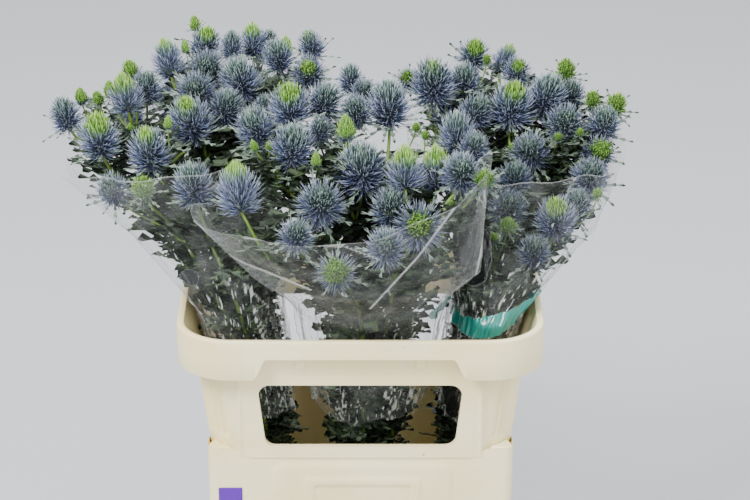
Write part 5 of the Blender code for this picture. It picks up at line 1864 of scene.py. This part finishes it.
@dataclass
class CollarPiece:
    """The collar: its band hangs round the rim, over a tapering frame with two windows."""

    foot: Level = Level(0.3352, 0.2412, 0.053, 0.2788)
    waist: Level = Level(0.360, 0.260, 0.056, 0.383)
    rim: Level = Level(0.400, 0.300, 0.062, 0.430)
    wall: float = 0.003
    lip: float = 0.008
    band_deep: float = 0.046
    band_shallow: float = 0.022
    notch: tuple[float, float] = (0.1005, 0.1155)
    window_half: tuple[float, float] = (0.1048, 0.1106)
    window_height: tuple[float, float] = (0.293, 0.370)
    window_corner: float = 0.0125
    flutes: int = 6
    # The flutes round the corners: their angles in degrees, heights, edges and depth.
    flute_from: float = 6.0
    flute_span: float = 54.0
    flute_foot: tuple[float, float] = (0.300, 0.303)
    flute_top: tuple[float, float] = (0.377, 0.374)
    flute_edge: tuple[float, float] = (0.25, 0.7)
    flute_depth: float = 0.0028
    # The long sides' panel, border and tabs: places, edges and how far each stands out.
    straight: float = 0.9999
    facing: float = 0.8
    panel_edge: tuple[float, float] = (0.1375, 0.1345)
    panel_rise: float = 0.0020
    border_at: float = 0.1310
    border_edge: tuple[float, float] = (0.0030, 0.0012)
    border_rise: float = 0.0022
    tab_at: float = 0.065
    tab_edge: tuple[float, float] = (0.0062, 0.0048)
    tab_foot: tuple[float, float] = (0.3915, 0.3940)
    tab_top: float = 0.410
    tab_rise: float = 0.0035

    def relief(self, points: np.ndarray, ways: np.ndarray) -> np.ndarray:
        """How far the frame's outside stands out.

        Args:
            points: Points on the wall.
            ways: Their outward directions.

        Returns:
            The distance at each point.
        """
        across, height = np.abs(points[:, 0]), points[:, 2]
        long_side = np.abs(ways[:, 1]) > self.straight
        facing = np.abs(ways[:, 1]) > self.facing
        panel = smooth(across, *self.panel_edge) * facing
        out = self.panel_rise * panel
        border = smooth(np.abs(across - self.border_at), *self.border_edge) * facing
        out += self.border_rise * border
        angle = np.degrees(np.arctan2(np.abs(ways[:, 1]), np.abs(ways[:, 0])))
        share = (angle - self.flute_from) / self.flute_span
        ripple = np.abs(np.sin(np.clip(share, 0, 1) * math.pi * self.flutes))
        fluted = (share > 0) & (share < 1)
        tall = smooth(height, *self.flute_foot) * smooth(height, *self.flute_top)
        tab = smooth(np.abs(across - self.tab_at), *self.tab_edge) * smooth(height, *self.tab_foot)
        out += self.tab_rise * tab * long_side * (height < self.tab_top)
        return out - self.flute_depth * smooth(ripple, *self.flute_edge) * fluted * tall

    def band_lift(self, points: np.ndarray) -> np.ndarray:
        """How much higher the band's lower edge lies, which is shallow over the window."""
        inner, outer = self.notch
        across = np.abs(points[:, 0])
        long_side = np.abs(points[:, 1]) > 0.14
        return (self.band_deep - self.band_shallow) * smooth(across, outer, inner) * long_side

    def window_cutter(self) -> bpy.types.Object:
        """A prism through both long sides in the window's shape."""
        low, high = self.window_height
        middle, radius = (low + high) / 2, self.window_corner
        outline = []
        for quarter, (x, z) in enumerate(((1, -1), (1, 1), (-1, 1), (-1, -1))):
            half = self.window_half[0 if z < 0 else 1] - radius
            for step in range(9):
                angle = math.pi / 2 * (quarter - 1 + step / 8)
                rise = z * ((high - low) / 2 - radius) + radius * math.sin(angle)
                outline.append((x * half + radius * math.cos(angle), middle + rise))
        work = bmesh.new()
        front = [work.verts.new((x, -0.3, z)) for x, z in outline]
        back = [work.verts.new((x, 0.3, z)) for x, z in outline]
        work.faces.new(front)
        work.faces.new(back[::-1])
        for k in range(len(front)):
            after = (k + 1) % len(front)
            work.faces.new((front[after], front[k], back[k], back[after]))
        bmesh.ops.recalc_face_normals(work, faces=work.faces)
        mesh = bpy.data.meshes.new("window_cutter")
        work.to_mesh(mesh)
        work.free()
        return link_piece("window_cutter", mesh)

    def build(self, material: bpy.types.Material) -> list[bpy.types.Object]:
        """Builds the frame with its band and the small ribs under the band.

        Args:
            material: The plastic.

        Returns:
            The pieces.
        """
        wall, lip = self.wall, self.lip
        moulding = Moulding(140, 40, 42)
        moulding.add(self.foot.inset(0.0034, 0.268))
        moulding.add(self.foot.inset(0.0034))
        moulding.add(self.foot, self.relief)
        for height in np.linspace(0.281, 0.383, 44):
            moulding.add(self.foot.between(self.waist, height), self.relief)
        shoulder = self.rim.inset(lip - wall / 3, 0.424)
        for height in np.linspace(0.3855, 0.4105, 14):
            moulding.add(self.waist.between(shoulder, height), self.relief)
        moulding.add(self.rim.inset(lip - wall / 3, 0.422))
        moulding.add(self.rim.inset(wall, 0.424))
        low = self.rim.height - self.band_deep
        moulding.add(self.rim.inset(wall, low + 0.0006), lift=self.band_lift)
        moulding.add(self.rim.inset(wall * 0.75, low), lift=self.band_lift)
        moulding.add(self.rim.inset(wall * 0.22, low), lift=self.band_lift)
        moulding.add(self.rim.inset(0.0, low + 0.0010), lift=self.band_lift)
        for height in (0.4085, 0.4105, 0.4260):
            moulding.add(self.rim.inset(0.0, height))
        for angle in (0.35, 0.75, 1.15, 1.5708):
            by = 0.0026 * (1 - math.cos(angle))
            moulding.add(self.rim.inset(by, 0.4274 + 0.0026 * math.sin(angle)))
        moulding.add(self.rim.inset(lip - 0.0024, 0.4300))
        moulding.add(self.rim.inset(lip - 0.0006, 0.4292))
        moulding.add(self.rim.inset(lip, 0.4272))
        moulding.add(self.waist.inset(wall))
        moulding.add(self.foot.inset(0.0034 + wall, 0.268))
        collar = moulding.object("collar_shell", closed=True)
        cut_out(collar, self.window_cutter())
        sharpen(collar, 42.0)
        collar.data.materials.clear()
        collar.data.materials.append(material)
        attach(collar, BODY)
        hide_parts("collar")
        return [collar]


@dataclass
class BucketPiece:
    """The bucket: an open tub with a raised panel and a card holder on each long side."""

    foot: Level = Level(0.326, 0.232, 0.010, 0.0)
    rim: Level = Level(0.336, 0.242, 0.010, 0.2785)
    wall: float = 0.003
    rise: float = 0.0115
    post_from: tuple[float, float] = (0.140, 0.094)
    hollow_corner: float = 0.046
    post_ramp: tuple[float, float] = (0.004, 0.002)
    # The raised panel, the card holder and its slot: half width, top and corner radius.
    panel: tuple[float, float, float] = (0.0988, 0.2698, 0.012)
    holder: tuple[float, float, float] = (0.0640, 0.2540, 0.004)
    slot: tuple[float, float, float] = (0.0530, 0.2450, 0.004)
    panel_middle: float = 0.0018
    panel_rise: float = 0.0018
    holder_rise: float = 0.0018
    slot_depth: float = 0.0022
    panel_low: float = 0.06
    slope: float = 0.0009
    straight: float = 0.9999

    def relief(self, points: np.ndarray, ways: np.ndarray) -> np.ndarray:
        """How far the bucket's outside stands out.

        Args:
            points: Points on the wall.
            ways: Their outward directions.

        Returns:
            The distance at each point.
        """
        x, height = points[:, 0], points[:, 2]
        long_side = np.abs(ways[:, 1]) > self.straight
        panel = self.inside(x - self.panel_middle, height, *self.panel)
        holder = self.inside(x - self.panel_middle, height, *self.holder)
        slot = self.inside(x - self.panel_middle, height, *self.slot)
        out = self.panel_rise * panel + self.holder_rise * holder - self.slot_depth * slot
        return np.where(long_side, out, 0.0)

    def inside(
        self, x: np.ndarray, height: np.ndarray, half: float, top: float, corner: float
    ) -> np.ndarray:
        """Whether points are inside a round-cornered panel that stands 60 mm over the floor.

        Args:
            x: How far they lie across.
            height: Their heights.
            half: The panel's half width.
            top: Its upper edge.
            corner: Its corner radius.

        Returns:
            1 inside, 0 outside, with a narrow slope between.
        """
        low = self.panel_low
        across = np.abs(x) - (half - corner)
        up = np.abs(height - (top + low) / 2) - ((top - low) / 2 - corner)
        away = np.hypot(np.maximum(across, 0), np.maximum(up, 0)) + np.minimum(
            np.maximum(across, up), 0
        )
        return smooth(away - corner, self.slope, -self.slope)

    def post_lift(self, points: np.ndarray) -> np.ndarray:
        """How much higher the corner posts stand."""
        along, beside = self.post_from
        before, after = self.post_ramp
        across = smooth(np.abs(points[:, 0]), along - before, along + after)
        return self.rise * across * smooth(np.abs(points[:, 1]), beside - before, beside + after)

    def build(self, material: bpy.types.Material) -> list[bpy.types.Object]:
        """Builds the bucket.

        Args:
            material: The plastic.

        Returns:
            The pieces.
        """
        wall = self.wall
        moulding = Moulding(140, 56, 6)
        moulding.add(self.foot.inset(0.002))
        moulding.add(self.foot.inset(0.0, 0.002))
        heights = np.concatenate([np.linspace(0.02, 0.18, 9), np.linspace(0.1825, 0.2770, 40)])
        for height in heights:
            moulding.add(self.foot.between(self.rim, height), self.relief)
        moulding.add(self.rim, lift=self.post_lift)
        hollow = Level(self.rim.width, self.rim.depth, self.hollow_corner, self.rim.height)
        moulding.add(hollow.inset(0.0008), lift=self.post_lift)
        moulding.add(hollow.inset(0.0016))
        moulding.add(hollow.inset(wall))
        moulding.add(self.rim.inset(wall, self.rim.height - 0.006))
        moulding.add(self.foot.inset(wall, wall))
        bucket = moulding.object("bucket_shell", closed=False)
        sharpen(bucket, 42.0)
        bucket.data.materials.append(material)
        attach(bucket, BODY)
        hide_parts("bucket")
        return [bucket]


@dataclass
class LabelPiece:
    """The plain label on the bucket's front, with a lifted edge."""

    left: float = -0.1565
    low: float = 0.1955
    width: float = 0.026
    height: float = 0.046
    corner: float = 0.0025
    thick: float = 0.0005

    def build(self) -> bpy.types.Object:
        """Builds the label and dresses it."""
        columns, rows = 14, 24
        u, v = np.meshgrid(np.linspace(0, 1, columns), np.linspace(0, 1, rows))
        x = self.left + u * self.width
        z = self.low + v * self.height
        depth = np.interp(z, (0.0, 0.2785), (0.116, 0.121)) + 0.0004
        depth = depth + 0.0007 * smooth(v, 0.93, 1.0) * smooth(u, 0.4, 0.0)
        points = np.stack([x, -depth, z], axis=-1).reshape(-1, 3)
        index = np.arange(rows * columns).reshape(rows, columns)
        faces = np.stack(
            [index[:-1, :-1], index[:-1, 1:], index[1:, 1:], index[1:, :-1]], axis=-1
        ).reshape(-1, 4)
        mesh = mesh_from("label_sheet", points, faces)
        mesh.materials.append(LabelFinish().build())
        piece = link_piece("label_sheet", mesh)
        solid = piece.modifiers.new("paper", "SOLIDIFY")
        solid.thickness = self.thick
        solid.offset = 1.0
        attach(piece, BODY)
        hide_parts("bucket_label")
        return piece


@dataclass
class Studio:
    """The plain grey floor and soft lights."""

    floor_half: float = 7.0
    grey: tuple[float, float, float, float] = tint(180, 181, 185)

    def build(self) -> None:
        """Makes the floor, the lights and the sky's even glow."""
        half = self.floor_half
        mesh = bpy.data.meshes.new("studio_floor")
        corners = [(-half, -half, 0), (half, -half, 0), (half, half, 0), (-half, half, 0)]
        mesh.from_pydata(corners, [], [(0, 1, 2, 3)])
        nodes = Nodes("studio_grey")
        soft = nodes.noise(0.8, 2.0)
        colour = nodes.mix(soft, self.grey, tuple(c * 1.04 for c in self.grey[:3]) + (1.0,))
        mesh.materials.append(nodes.finish(Base_Color=colour, Roughness=0.9))
        floor = link_piece("studio_floor", mesh)
        world = bpy.data.worlds.new("studio_glow")
        world.use_nodes = True
        glow = world.node_tree.nodes["Background"]
        glow.inputs["Color"].default_value = (0.93, 0.96, 1.0, 1.0)
        glow.inputs["Strength"].default_value = 1.0
        bpy.context.scene.world = world
        self.light("key", (-1.9, -2.2, 3.3), 255.0, 1.3)
        self.light("fill", (2.6, -2.2, 2.6), 78.0, 2.4)
        self.light("top", (0.2, 0.6, 3.6), 135.0, 2.6)
        self.light("glint", (0.6, -2.6, 1.2), 5.0, 0.25)

    def light(self, name: str, place: tuple, power: float, size: float) -> None:
        """Adds a square soft light that faces the bucket.

        Args:
            name: Its name.
            place: Where it hangs.
            power: Its power in watts.
            size: Its side.
        """
        lamp = bpy.data.lights.new(name, "AREA")
        lamp.energy = power
        lamp.size = size
        item = bpy.data.objects.new(name, lamp)
        item.location = place
        item.rotation_euler = (Vector((0, 0, 0.4)) - Vector(place)).to_track_quat(
            "-Z", "Y"
        ).to_euler()
        bpy.context.scene.collection.objects.link(item)


def main() -> None:
    """Builds every sub-assembly in order and reports each piece."""
    rng = np.random.default_rng(SEED)
    VIEW.camera()
    Studio().build()
    plastic = PlasticFinish("cream_moulded_plastic").build()
    pieces = CollarPiece().build(plastic) + BucketPiece().build(plastic)
    pieces.append(LabelPiece().build())
    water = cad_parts["water"]
    water.data.materials.clear()
    water.data.materials.append(WaterFinish().build())
    for number, bunch in enumerate(BUNCHES):
        finish = FilmFinish(f"film_{bunch.name}_finish", PRINTS[number])
        pieces.append(SleevePiece(bunch, finish, FOLDS[number]).build(rng))
    arrangement = Arrangement()
    sprays = arrangement.plan()
    finishes = [SpineFinish().build(), LeafFinish().build(), StemFinish().build()]
    counts = [0] * len(BUNCHES)
    for spray in sprays:
        counts[spray.bunch] += 1
        name = f"spray_{BUNCHES[spray.bunch].name}_{counts[spray.bunch]:02d}"
        pieces.append(SprayPiece(name, spray, arrangement, finishes).build(rng))
    for piece in pieces:
        LOG.info("%s: %d faces", piece.name, len(piece.data.polygons))


if __name__ == "__main__":
    logging.basicConfig(level=logging.INFO, format="%(message)s")
    main()
